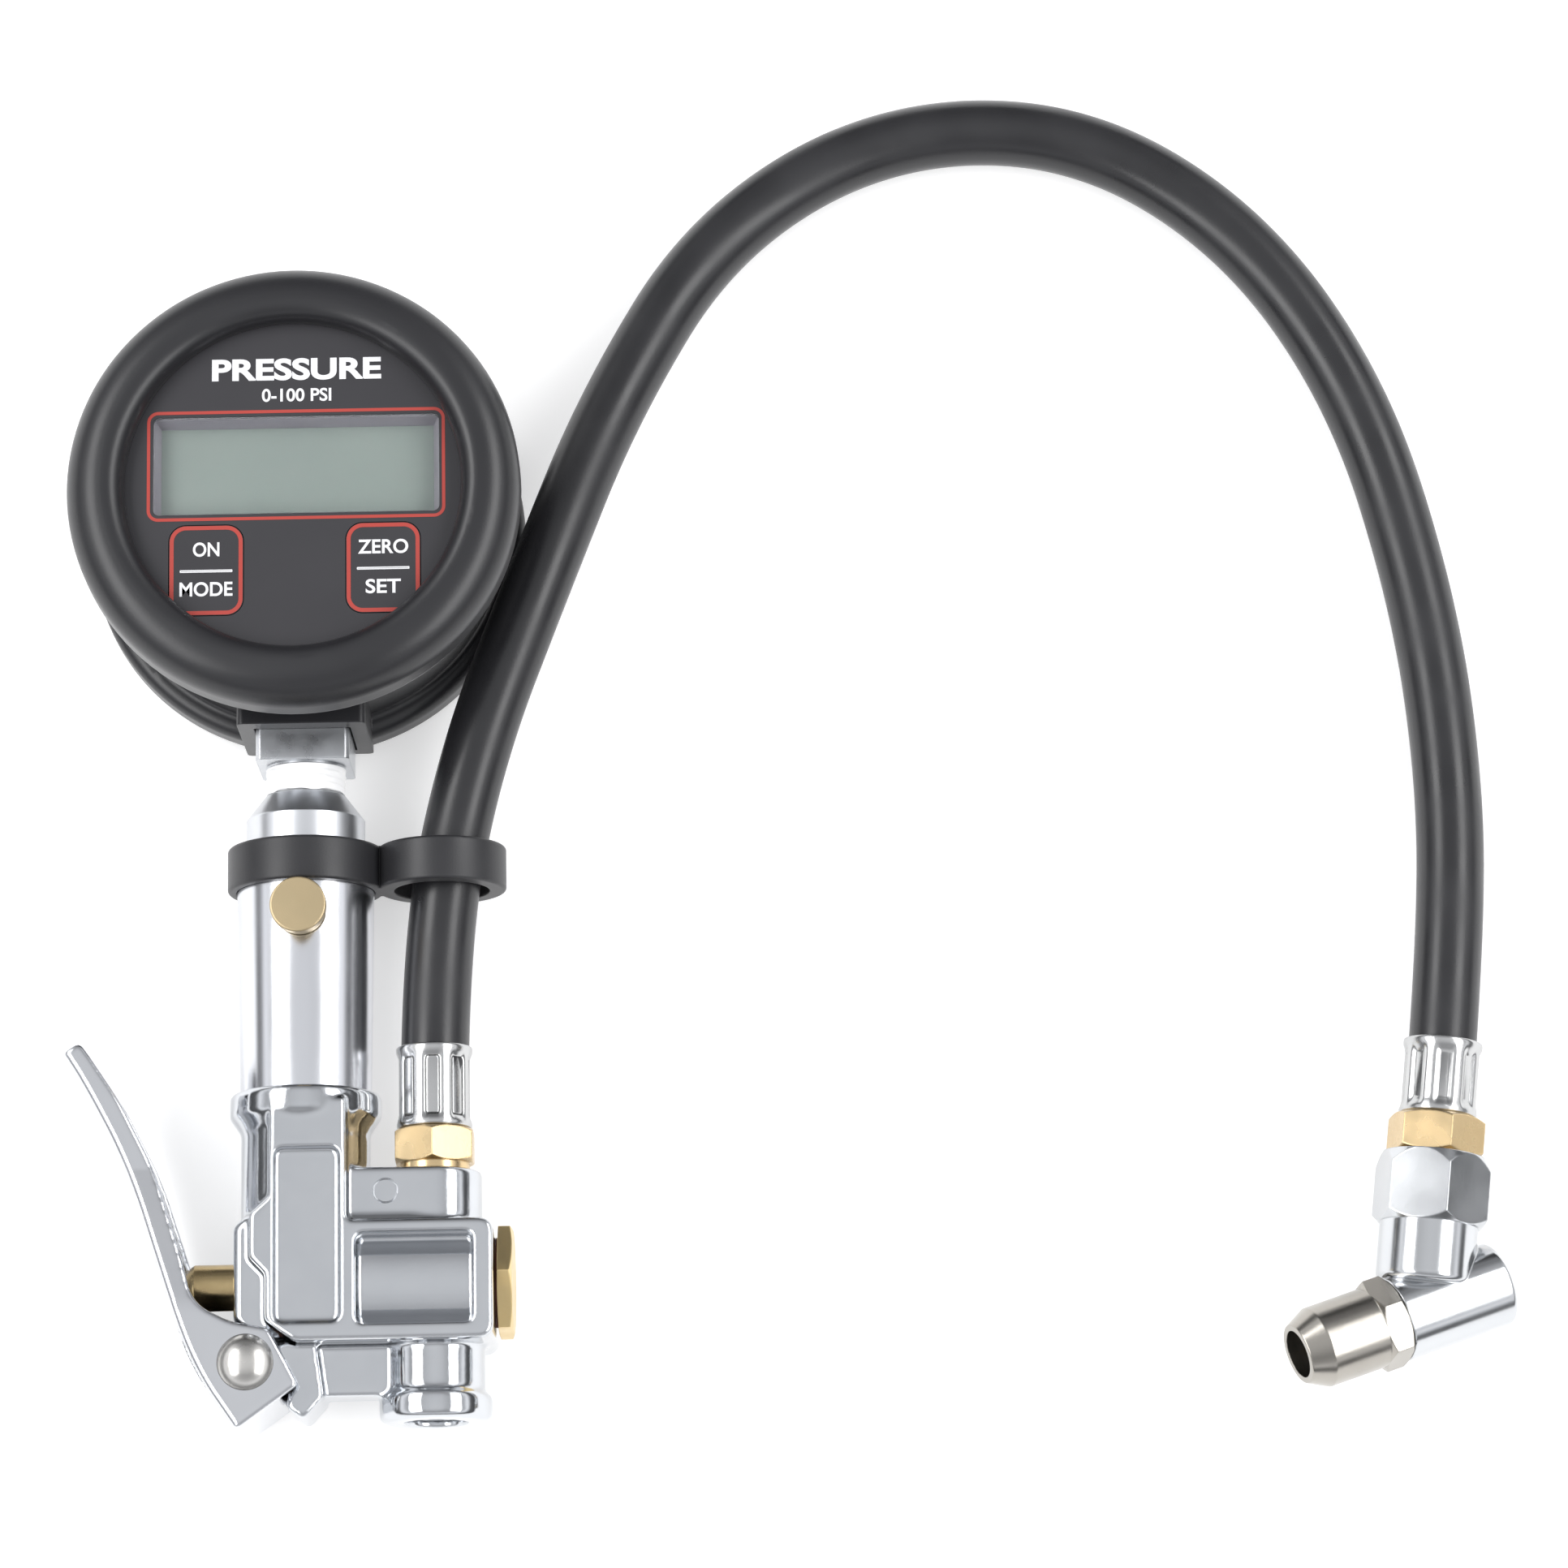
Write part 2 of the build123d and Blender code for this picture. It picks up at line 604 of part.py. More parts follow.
def lever_envelope(arm_half, cheek_half):
    """The lever's width: narrow along the arm, wider at the cheeks."""
    edge = [(-90, arm_half, 0), (-124, arm_half, 25), (-150, cheek_half, 25), (-185, cheek_half, 0)]
    mirrored = [(y, -z, radius) for y, z, radius in reversed(edge)]
    profile = Plane.YZ * outline(edge + mirrored)
    return Pos(-60, 0, AXIS_Z) * extrude(profile, 80)


def lever():
    """The channel lever: a web, two side walls that widen into cheeks, and a wall at its foot."""
    low, high = AXIS_Z - 20, AXIS_Z + 20
    side = plate([
        (-43.6, -101.3, 1.0), (-41.4, -99.8, 1.2), (-39.1, -103.0, 2.0), (-34.0, -110.7, 40),
        (-27.3, -124.1, 60), (-22.2, -140.2, 30), (-19.8, -149.4, 8), (-13.0, -152.9, 12),
        (-6.0, -154.2, 0.8), (-0.5, -164.7, 0.9), (-12.0, -172.9, 1.2), (-20.3, -160.8, 40),
        (-26.3, -143.0, 60), (-32.6, -123.6, 60), (-40.6, -108.2, 20), (-44.4, -102.2, 0.8),
    ], low, high)
    hollow = plate([
        (-36.9, -106.4, 1.0), (-20.0, -104.0, 0), (12.0, -141.0, 0), (12.0, -175.0, 0),
        (-3.8, -175.0, 0), (-3.8, -165.3, 0), (-11.4, -170.5, 1.0),
        (-18.5, -160.2, 20), (-24.4, -142.4, 60), (-30.7, -123.0, 60), (-37.4, -108.9, 1.5),
    ], low, high)
    shell = side & lever_envelope(ARM_HALF, LEVER_HALF)
    shell = fillet(shell.edges().filter_by(Axis.Z, reverse=True), LEVER_EDGE)
    shell -= hollow & lever_envelope(ARM_HALF - SHEET, LEVER_HALF - SHEET)
    return shell - rod(Plane.XY, RIVET_RADIUS + 0.02, -5, 40, at=PIVOT)


def lever_rivet():
    """The dome-headed rivet that the lever turns on."""
    plane = Plane(origin=(PIVOT[0], PIVOT[1], AXIS_Z))
    face = LEVER_HALF + 0.02
    height, radius = 2.5, 5.2
    ball = (radius**2 + height**2) / (2 * height)
    head = Pos(0, 0, face + height - ball) * Sphere(ball) & rod(Plane.XY, radius, face, face + height)
    heads = head + mirror(head, Plane.XY)
    return plane.location * (heads + rod(Plane.XY, RIVET_RADIUS, -face - 0.5, face + 0.5))


def lever_bush():
    """The bronze bush in the casting's lug."""
    low, high = AXIS_Z - LUG_HALF, AXIS_Z + LUG_HALF
    plane = Plane(origin=(PIVOT[0], PIVOT[1], 0))
    return sleeve(plane, RIVET_RADIUS + 0.98, RIVET_RADIUS + RUNNING_GAP, low, high)


def pivot_washers():
    """The two washers between the lug and the lever's cheeks."""
    plane = Plane(origin=(PIVOT[0], PIVOT[1], AXIS_Z))
    washers = []
    for side in (1, -1):
        near, far = LUG_HALF + 0.05, LEVER_HALF - SHEET - 0.35
        low, high = sorted((side * near, side * far))
        washers.append(sleeve(plane, 3.7, RIVET_RADIUS + RUNNING_GAP, low, high))
    return Compound(children=[washer for washer in washers])


# Hose and its fittings


def barb(plane, start, end):
    """A hose barb with four teeth, from its free end to its shoulder."""
    teeth = 4
    pitch = (end - 3.0 - start) / teeth
    points = [(0, start, 0)]
    for tooth in range(teeth):
        points += [(2.6, start + tooth * pitch, 0), (3.1, start + (tooth + 1) * pitch, 0)]
    return turned(plane, points + [(2.6, end - 3.0, 0), (2.6, end, 0), (0, end, 0)])


def ferrule(plane, start, end, radius, inside_end):
    """A crimped sleeve, flared at both ends, that turns in over the hose's cut end."""
    bore = HOSE_DIAMETER / 2 + 0.07
    return turned(plane, [
        (bore, start, 0), (radius + 0.35, start, 0.15), (radius + 0.35, start + 1.2, 0.5),
        (radius, start + 2.6, 1.0), (radius, end - 3.0, 1.0), (radius + 0.3, end - 1.6, 0.5),
        (radius + 0.3, end, 0.3), (2.75, end, 0), (2.75, inside_end, 0), (bore, inside_end, 0),
    ])


def body_fitting():
    """The brass fitting in the hose port: thread, collar, hexagon and barb."""
    plane = handle_plane(PORT_X)
    top, foot = 116.5, 122.9
    fitting = hexagon(plane, 14.3, top, foot, turn=30.0)
    fitting += turned(plane, [(0, foot - 0.5, 0), (6.5, foot - 0.5, 0), (6.5, PORT_TOP - 0.02, 0.2),
                              (5.55, PORT_TOP - 0.02, 0), (5.55, 133.0, 0.4), (0, 133.0, 0)])
    fitting += barb(plane, 102.5, top + 0.5)
    return fitting - rod(plane, 1.8, 100, 140)


def body_ferrule():
    """The ferrule crimped on the hose's end at the valve body."""
    return ferrule(handle_plane(PORT_X), 101.0, 116.4, 6.75, 115.7)


def hose():
    """The rubber hose: straight runs joined by tangent arcs."""
    points = [Vector(*point) for point in HOSE_ROUTE]
    runs = [b - a for a, b in zip(points, points[1:])]
    radii = []
    for before, after in zip(runs, runs[1:]):
        half_turn = math.radians(before.get_angle(after)) / 2
        radii.append(0.45 * min(before.length, after.length) / math.tan(half_turn))
    print("hose radii", [round(radius) for radius in radii])
    path = FilletPolyline(*points, radius=radii)
    section = Plane(origin=points[0], z_dir=runs[0])
    ring = section * (Circle(HOSE_DIAMETER / 2) - Circle(HOSE_BORE / 2))
    tube = sweep(ring, path)
    area = math.pi * (HOSE_DIAMETER**2 - HOSE_BORE**2) / 4
    print("hose length", round(path.length, 1), "volume", round(tube.volume),
          "section times length", round(area * path.length))
    return tube


def chuck_ferrule():
    """The ferrule crimped on the hose's end at the chuck."""
    return ferrule(chuck_plane(), 0.0, FERRULE_LENGTH, 7.0, FERRULE_LENGTH - 0.8)


def chuck_fitting():
    """The brass fitting that screws the hose into the chuck."""
    plane = chuck_plane()
    fitting = hexagon(plane, 15.9, 14.35, 21.5, turn=17.4)
    fitting += turned(plane, [(0, 21.0, 0), (6.4, 21.0, 0), (6.4, 30.5, 0.5), (0, 30.5, 0)])
    fitting += barb(plane, 1.0, 14.9)
    return fitting - rod(plane, 1.8, 0, 40)


def chuck_body():
    """The chromed chuck body: hexagon, round column and the cross barrel."""
    plane, across = chuck_plane(), barrel_plane()
    start, end = 21.6, 34.8
    body = hexagon(plane, CHUCK_HEX_FLATS, start, end, turn=19.4, drops=(2.9, 1.6))
    body += turned(plane, [(0, end - 2, 0), (9.2, end - 2, 0), (9.2, 46.2, 1.8), (0, 46.2, 0)])
    body += turned(across, [(0, -BARREL_BACK, 0), (7.9, -BARREL_BACK, 0.9), (7.9, 5.85, 0.2),
                            (0, 5.85, 0)])
    body -= rod(plane, 6.45, start - 1, 31.5)
    body -= rod(plane, 2.4, 30, CHUCK_CROSS)
    return body - rod(across, 5.5, -12.0, 10)


def chuck_nose():
    """The screwed-in nose: threaded spigot, hexagon, barrel and coned mouth."""
    across = barrel_plane()
    nose = turned(across, [
        (0, -1.0, 0), (5.44, -1.0, 0.3), (5.44, 7.0, 0), (7.6, 7.0, 0), (7.6, 22.1, 0.3),
        (5.6, MOUTH_REACH, 0.3), (0, MOUTH_REACH, 0),
    ])
    nose += hexagon(across, 15.2, 5.9, 10.7, turn=43.0)
    nose -= rod(across, 3.6, -2, 16.5)
    nose -= rod(across, 1.7, 10, 20)
    nose -= rod(across, SEAL_RADIUS, SEAL_FROM, SEAL_FROM + SEAL_THICKNESS)
    return nose - rod(across, MOUTH_RADIUS, SEAL_FROM + 1, 40)


def chuck_seal():
    """The rubber washer that seals on the tyre's valve."""
    start, end = SEAL_FROM + 0.03, SEAL_FROM + SEAL_THICKNESS - 0.03
    return sleeve(barrel_plane(), SEAL_RADIUS - 0.03, 1.6, start, end)


def chuck_pin():
    """The pin that opens the tyre's valve, with its guide flange."""
    return turned(barrel_plane(), [(0, 8.0, 0), (1.6, 8.0, 0.3), (1.6, 13.0, 0), (3.3, 13.0, 0.2),
                                   (3.3, 14.8, 0.2), (1.1, 14.8, 0), (1.1, 20.0, 0.4), (0, 20.0, 0)])


def chuck_spring():
    """The spring behind the pin's flange."""
    return coil(barrel_plane(), 2.5, 0.6, -11.9, 12.9, 10)


PARTS = {
    "gauge_boot": gauge_boot,
    "gauge_case": gauge_case,
    "face_panel": face_panel,
    "display_window": display_window,
    "display_frame": display_frame,
    "lcd_panel": lcd_panel,
    "circuit_board": circuit_board,
    "board_screws": board_screws,
    "battery_holder": battery_holder,
    "battery": battery,
    "key_switches": key_switches,
    "mode_key": lambda: key(KEY_CENTRES[0]),
    "set_key": lambda: key(KEY_CENTRES[1]),
    "gauge_stem": gauge_stem,
    "thread_tape": thread_tape,
    "pressure_sensor": pressure_sensor,
    "handle_cap": handle_cap,
    "cap_seal": cap_seal,
    "handle_tube": handle_tube,
    "tube_seal": tube_seal,
    "hose_clip": hose_clip,
    "deflator_button": deflator_button,
    "deflator_disc": deflator_disc,
    "deflator_seal": deflator_seal,
    "deflator_seat": deflator_seat,
    "deflator_spring": deflator_spring,
    "spring_cup": spring_cup,
    "valve_body": valve_body,
    "plunger": plunger,
    "plunger_seal": plunger_seal,
    "valve_seat": valve_seat,
    "poppet": poppet,
    "poppet_seal": poppet_seal,
    "valve_spring": valve_spring,
    "valve_plug": valve_plug,
    "plug_washer": plug_washer,
    "inlet_screen": inlet_screen,
    "lever": lever,
    "lever_rivet": lever_rivet,
    "lever_bush": lever_bush,
    "pivot_washers": pivot_washers,
    "body_fitting": body_fitting,
    "body_ferrule": body_ferrule,
    "hose": hose,
    "chuck_ferrule": chuck_ferrule,
    "chuck_fitting": chuck_fitting,
    "chuck_body": chuck_body,
    "chuck_nose": chuck_nose,
    "chuck_seal": chuck_seal,
    "chuck_pin": chuck_pin,
    "chuck_spring": chuck_spring,
}

for name, make in PARTS.items():
    export_step(make(), f"parts/{name}.step")
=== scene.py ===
"""Looks of a hand-held tyre inflator with a digital gauge, built round its CAD frame.

Lengths inside the classes are millimetres in the row frame: the origin is the centre of the gauge
boot's flat back, +Z is out of the gauge's face and -Y runs down the handle. Every mesh is turned to
metres once, when it is made.
"""

import json
import logging
import math
from dataclasses import dataclass, field
from typing import Iterable, Sequence

import bmesh
import bpy
import numpy as np
from mathutils import Matrix, Vector


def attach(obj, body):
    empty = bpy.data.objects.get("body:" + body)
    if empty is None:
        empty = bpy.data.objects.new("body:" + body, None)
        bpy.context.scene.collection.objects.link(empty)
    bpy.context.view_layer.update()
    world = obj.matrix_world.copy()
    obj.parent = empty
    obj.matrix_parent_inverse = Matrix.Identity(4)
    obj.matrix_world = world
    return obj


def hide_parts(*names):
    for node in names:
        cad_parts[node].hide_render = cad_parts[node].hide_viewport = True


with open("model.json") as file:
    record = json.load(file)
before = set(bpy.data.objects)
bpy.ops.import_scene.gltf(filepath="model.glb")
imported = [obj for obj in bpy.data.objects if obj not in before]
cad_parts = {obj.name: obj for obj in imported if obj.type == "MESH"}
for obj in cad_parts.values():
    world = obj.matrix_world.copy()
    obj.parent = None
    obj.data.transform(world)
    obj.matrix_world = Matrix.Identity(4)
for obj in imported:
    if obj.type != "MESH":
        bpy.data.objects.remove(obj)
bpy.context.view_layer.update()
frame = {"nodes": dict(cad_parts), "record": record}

LOG = logging.getLogger("inflator")
MM = 0.001
ROOT_BODY = "inflator"

AXIS_Z = 15.0  # the height of the handle's and the port's axes
FACE_TOP_Z = 45.2
HOSE_DIAMETER = 12.7
PORT_X = 23.9
KEY_SIZE = (13.7, 17.2)
KEY_CORNER = 3.1
MODE_CENTRE = (-16.0, -16.15)
SET_CENTRE = (16.7, -16.15)
KEY_WORD_HEIGHT = 2.75
INK_HEIGHT = 0.04
INK_SHARP = 30  # degrees past which an edge of the printing stays sharp
CORNER_STEPS = 10  # steps round each corner of a printed frame
TAPE_START = 47.42  # stations down the handle's axis
TAPE_END = 52.3
TAPE_INNER_RADIUS = 6.6
PORT_FERRULE_START = 101.0
PORT_FERRULE_END = 116.4
FERRULE_LENGTH = 14.2
FERRULE_BORE = 6.42
FERRULE_NECK = 2.75  # the radius of the hole in a ferrule's closed end
FERRULE_WALL = 0.75
INLET_STATION = 160.2
RING_SCALE = 314.0  # the wave texture's scale for rings one millimetre apart
FLUTE_GAIN = 1.1  # how sharply a flute falls away, and how wide it is
FLUTE_BIAS = 0.65
FLUTE_FADE = 5.0  # how quickly the flutes run out at their ends

# The route that the hose lies on, the same points as in the CAD, in millimetres.
HOSE_ROUTE = [
    (23.9, -115.6, 15.0),
    (23.9, -82.0, 15.0),
    (31.0, -46.0, 16.6),
    (44.6, -12.0, 20.4),
    (58.0, 24.0, 13.6),
    (78.5, 60.5, 6.5),
    (111.5, 80.4, 6.4),
    (149.0, 80.4, 6.4),
    (180.8, 59.8, 6.4),
    (202.4, 26.0, 6.4),
    (213.2, -16.0, 6.5),
    (216.4, -53.5, 8.6),
    (214.4, -86.0, 11.4),
    (210.8, -115.6, 11.4),
]


# Small tools


def linear(colour: str) -> tuple[float, float, float, float]:
    """Turns an sRGB hex colour into Blender's linear values.

    Args:
        colour: Six hex digits, with or without a leading hash.

    Returns:
        Red, green, blue and alpha.
    """
    digits = colour.lstrip("#")
    channels = [int(digits[i : i + 2], 16) / 255 for i in (0, 2, 4)]
    values = [c / 12.92 if c <= 0.04045 else ((c + 0.055) / 1.055) ** 2.4 for c in channels]
    return (values[0], values[1], values[2], 1.0)


def add(tree: bpy.types.NodeTree, kind: str, **inputs: object) -> bpy.types.Node:
    """Adds a node and sets its input sockets and properties by name.

    Args:
        tree: The node tree.
        kind: The node's type name.
        **inputs: Socket names with spaces as underscores, or the node's own properties.

    Returns:
        The new node.
    """
    made = tree.nodes.new(kind)
    for name, value in inputs.items():
        socket = made.inputs.get(name.replace("_", " "))
        if socket is not None:
            socket.default_value = value
        else:
            setattr(made, name, value)
    return made


def link(
    tree: bpy.types.NodeTree, source: bpy.types.NodeSocket, target: bpy.types.NodeSocket
) -> None:
    """Joins two sockets."""
    tree.links.new(source, target)


@dataclass(frozen=True)
class Axis3:
    """A straight axis in the row frame, in millimetres.

    Args:
        origin: A point on the axis, its zero.
        heading: The direction in which stations grow.
    """

    origin: tuple[float, float, float]
    heading: tuple[float, float, float]

    def matrix(self) -> Matrix:
        """Returns the matrix whose Z runs along the axis, in millimetres."""
        z = Vector(self.heading).normalized()
        hint = Vector((0, 0, 1)) if abs(z.z) < 0.9 else Vector((1, 0, 0))
        x = hint.cross(z).normalized()
        turn = Matrix((x, z.cross(x), z)).transposed().to_4x4()
        return Matrix.Translation(Vector(self.origin)) @ turn


# The axes of the handle, the hose's port and the chuck's ferrule.
CHUCK_TURN = math.radians(7.0)
HANDLE = Axis3((0.0, 0.0, AXIS_Z), (0.0, -1.0, 0.0))
PORT = Axis3((PORT_X, 0.0, AXIS_Z), (0.0, -1.0, 0.0))
CHUCK = Axis3((212.4, -102.8, 11.4), (-math.sin(CHUCK_TURN), -math.cos(CHUCK_TURN), 0.0))


def new_object(name: str, bm: bmesh.types.BMesh, sharp_degrees: float = 40.0) -> bpy.types.Object:
    """Turns a bmesh in millimetres into a smooth-shaded object at the origin.

    Args:
        name: The piece's name.
        bm: The mesh, which is freed.
        sharp_degrees: Edges that turn more than this stay sharp.

    Returns:
        The linked object.
    """
    bmesh.ops.recalc_face_normals(bm, faces=bm.faces[:])
    bm.transform(Matrix.Scale(MM, 4))
    mesh = bpy.data.meshes.new(name)
    bm.to_mesh(mesh)
    bm.free()
    piece = bpy.data.objects.new(name, mesh)
    bpy.context.scene.collection.objects.link(piece)
    smooth(piece, sharp_degrees)
    return piece


def smooth(piece: bpy.types.Object, sharp_degrees: float) -> None:
    """Shades a piece smooth except over sharp edges."""
    mesh = piece.data
    mesh.polygons.foreach_set("use_smooth", [True] * len(mesh.polygons))
    mesh.set_sharp_from_angle(angle=math.radians(sharp_degrees))
    mesh.update()


def lathe(
    name: str, axis: Axis3, profile: Sequence[tuple[float, float]], segments: int = 128
) -> bpy.types.Object:
    """Turns a closed profile about an axis.

    Args:
        name: The piece's name.
        axis: The axis.
        profile: (radius, station) pairs round the section, all radii above zero.
        segments: Steps round the axis.

    Returns:
        The closed, ring-shaped object.
    """
    bm = bmesh.new()
    place = axis.matrix()
    rings = []
    for step in range(segments):
        angle = math.tau * step / segments
        c, s = math.cos(angle), math.sin(angle)
        rings.append([bm.verts.new(place @ Vector((r * c, r * s, h))) for r, h in profile])
    count = len(profile)
    for step in range(segments):
        near, far = rings[step], rings[(step + 1) % segments]
        for i in range(count):
            j = (i + 1) % count
            bm.faces.new((near[i], near[j], far[j], far[i]))
    return new_object(name, bm)


def bake(piece: bpy.types.Object) -> None:
    """Applies a piece's modifiers to a mesh of its own and removes them."""
    bpy.context.view_layer.update()
    graph = bpy.context.evaluated_depsgraph_get()
    mesh = bpy.data.meshes.new_from_object(piece.evaluated_get(graph))
    piece.modifiers.clear()
    piece.data = mesh


def finish_piece(
    piece: bpy.types.Object, body: str, slot: str, replaced: Iterable[str] = ()
) -> bpy.types.Object:
    """Gives a piece its slot's material and its body.

    Args:
        piece: The finished piece.
        body: The CAD body that it moves with.
        slot: The record's material slot.
        replaced: CAD nodes that it stands for.

    Returns:
        The same piece.
    """
    piece.data.materials.clear()
    piece.data.materials.append(SHOP.get(slot))
    names = list(replaced)
    if names:
        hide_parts(*names)
    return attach(piece, body)


# Finishes


@dataclass(frozen=True)
class Finish:
    """What every finish has: a colour with slow variation, and uneven gloss.

    Args:
        colour: The base colour in sRGB hex.
        second: The colour that the base drifts towards.
        roughness: The mean roughness.
        spread: How far roughness strays each way.
        patch_mm: The size of the colour and gloss patches.
        grain_mm: The size of the fine surface grain.
        grain: The depth of the grain, in millimetres.
        wave_mm: The size of slow surface waves.
        wave: The depth of the waves, in millimetres.
        edge_mm: The rounding seen on sharp edges.
    """

    colour: str
    second: str
    roughness: float
    spread: float = 0.03
    patch_mm: float = 20.0
    grain_mm: float = 0.5
    grain: float = 0.0
    wave_mm: float = 8.0
    wave: float = 0.0
    edge_mm: float = 0.0

    def build(self, name: str) -> bpy.types.Material:
        """Makes the material with its nodes."""
        material = bpy.data.materials.new(name)
        material.use_nodes = True
        tree = material.node_tree
        shader = tree.nodes["Principled BSDF"]
        place = add(tree, "ShaderNodeTexCoord").outputs["Object"]
        patches = self.noise(tree, place, self.patch_mm, 3.0)
        self.paint(tree, shader, patches)
        self.gloss(tree, shader, patches)
        self.relief(tree, shader, place)
        self.character(tree, shader, place)
        return material

    @staticmethod
    def noise(
        tree: bpy.types.NodeTree, place: bpy.types.NodeSocket, size_mm: float, detail: float
    ) -> bpy.types.NodeSocket:
        """Adds a noise whose features are size_mm wide and returns its value socket."""
        texture = add(
            tree, "ShaderNodeTexNoise", Scale=1000.0 / size_mm, Detail=detail, Roughness=0.5
        )
        link(tree, place, texture.inputs["Vector"])
        return texture.outputs["Fac"]

    def paint(
        self, tree: bpy.types.NodeTree, shader: bpy.types.Node, patches: bpy.types.NodeSocket
    ) -> None:
        """Drifts the base colour between its two values."""
        mix = add(tree, "ShaderNodeMix", data_type="RGBA")
        mix.inputs[6].default_value = linear(self.colour)
        mix.inputs[7].default_value = linear(self.second)
        link(tree, patches, mix.inputs[0])
        link(tree, mix.outputs[2], shader.inputs["Base Color"])

    def gloss(
        self, tree: bpy.types.NodeTree, shader: bpy.types.Node, patches: bpy.types.NodeSocket
    ) -> None:
        """Varies the roughness about its mean."""
        span = add(tree, "ShaderNodeMapRange")
        span.inputs["From Min"].default_value = 0.3
        span.inputs["From Max"].default_value = 0.7
        span.inputs["To Min"].default_value = max(0.02, self.roughness - self.spread)
        span.inputs["To Max"].default_value = self.roughness + self.spread
        link(tree, patches, span.inputs["Value"])
        link(tree, span.outputs["Result"], shader.inputs["Roughness"])

    def relief(
        self, tree: bpy.types.NodeTree, shader: bpy.types.Node, place: bpy.types.NodeSocket
    ) -> None:
        """Stacks edge rounding, slow waves and fine grain into the normal."""
        normal = None
        if self.edge_mm:
            edge = add(tree, "ShaderNodeBevel", samples=6, Radius=self.edge_mm * MM)
            normal = edge.outputs["Normal"]
        layers = ((self.wave_mm, self.wave, 1.0), (self.grain_mm, self.grain, 2.0))
        for size, depth, detail in layers:
            if not depth:
                continue
            bump = add(tree, "ShaderNodeBump", Strength=1.0, Distance=depth * MM)
            link(tree, self.noise(tree, place, size, detail), bump.inputs["Height"])
            if normal is not None:
                link(tree, normal, bump.inputs["Normal"])
            normal = bump.outputs["Normal"]
        if normal is not None:
            link(tree, normal, shader.inputs["Normal"])

    def character(
        self, tree: bpy.types.NodeTree, shader: bpy.types.Node, place: bpy.types.NodeSocket
    ) -> None:
        """Sets what sets this kind of surface apart. A plain dielectric needs nothing."""


@dataclass(frozen=True)
class Metal(Finish):
    """A bare or plated metal."""

    def character(
        self, tree: bpy.types.NodeTree, shader: bpy.types.Node, place: bpy.types.NodeSocket
    ) -> None:
        """Makes it metallic."""
        shader.inputs["Metallic"].default_value = 1.0


@dataclass(frozen=True)
class Turned(Metal):
    """A lathe-faced metal: fine rings about an upright axis.

    Args:
        centre: The rings' centre in plan, in millimetres.
        pitch_mm: The distance from ring to ring.
    """

    centre: tuple[float, float] = (0.0, 0.0)
    pitch_mm: float = 0.35

    def character(
        self, tree: bpy.types.NodeTree, shader: bpy.types.Node, place: bpy.types.NodeSocket
    ) -> None:
        """Makes it metallic and cuts the rings."""
        shader.inputs["Metallic"].default_value = 1.0
        shift = add(tree, "ShaderNodeVectorMath", operation="SUBTRACT")
        shift.inputs[1].default_value = (self.centre[0] * MM, self.centre[1] * MM, 0.0)
        link(tree, place, shift.inputs[0])
        rings = add(tree, "ShaderNodeTexWave", wave_type="RINGS", rings_direction="Z")
        rings.inputs["Scale"].default_value = RING_SCALE / self.pitch_mm
        rings.inputs["Distortion"].default_value = 0.6
        link(tree, shift.outputs[0], rings.inputs["Vector"])
        bump = add(tree, "ShaderNodeBump", Strength=0.35, Distance=0.01 * MM)
        link(tree, rings.outputs["Fac"], bump.inputs["Height"])
        if shader.inputs["Normal"].links:
            link(tree, shader.inputs["Normal"].links[0].from_socket, bump.inputs["Normal"])
        link(tree, bump.outputs["Normal"], shader.inputs["Normal"])


@dataclass(frozen=True)
class Rubber(Finish):
    """A moulded rubber with a soft broad sheen."""

    sheen: float = 0.15

    def character(
        self, tree: bpy.types.NodeTree, shader: bpy.types.Node, place: bpy.types.NodeSocket
    ) -> None:
        """Adds the bloom that lifts rubber's grazing edges."""
        shader.inputs["Sheen Weight"].default_value = self.sheen
        shader.inputs["Sheen Roughness"].default_value = 0.4


@dataclass(frozen=True)
class Clear(Finish):
    """A clear pane that the eye looks through."""

    def character(
        self, tree: bpy.types.NodeTree, shader: bpy.types.Node, place: bpy.types.NodeSocket
    ) -> None:
        """Lets light through and keeps the pane's own glint."""
        shader.inputs["Transmission Weight"].default_value = 1.0
        shader.inputs["IOR"].default_value = 1.05


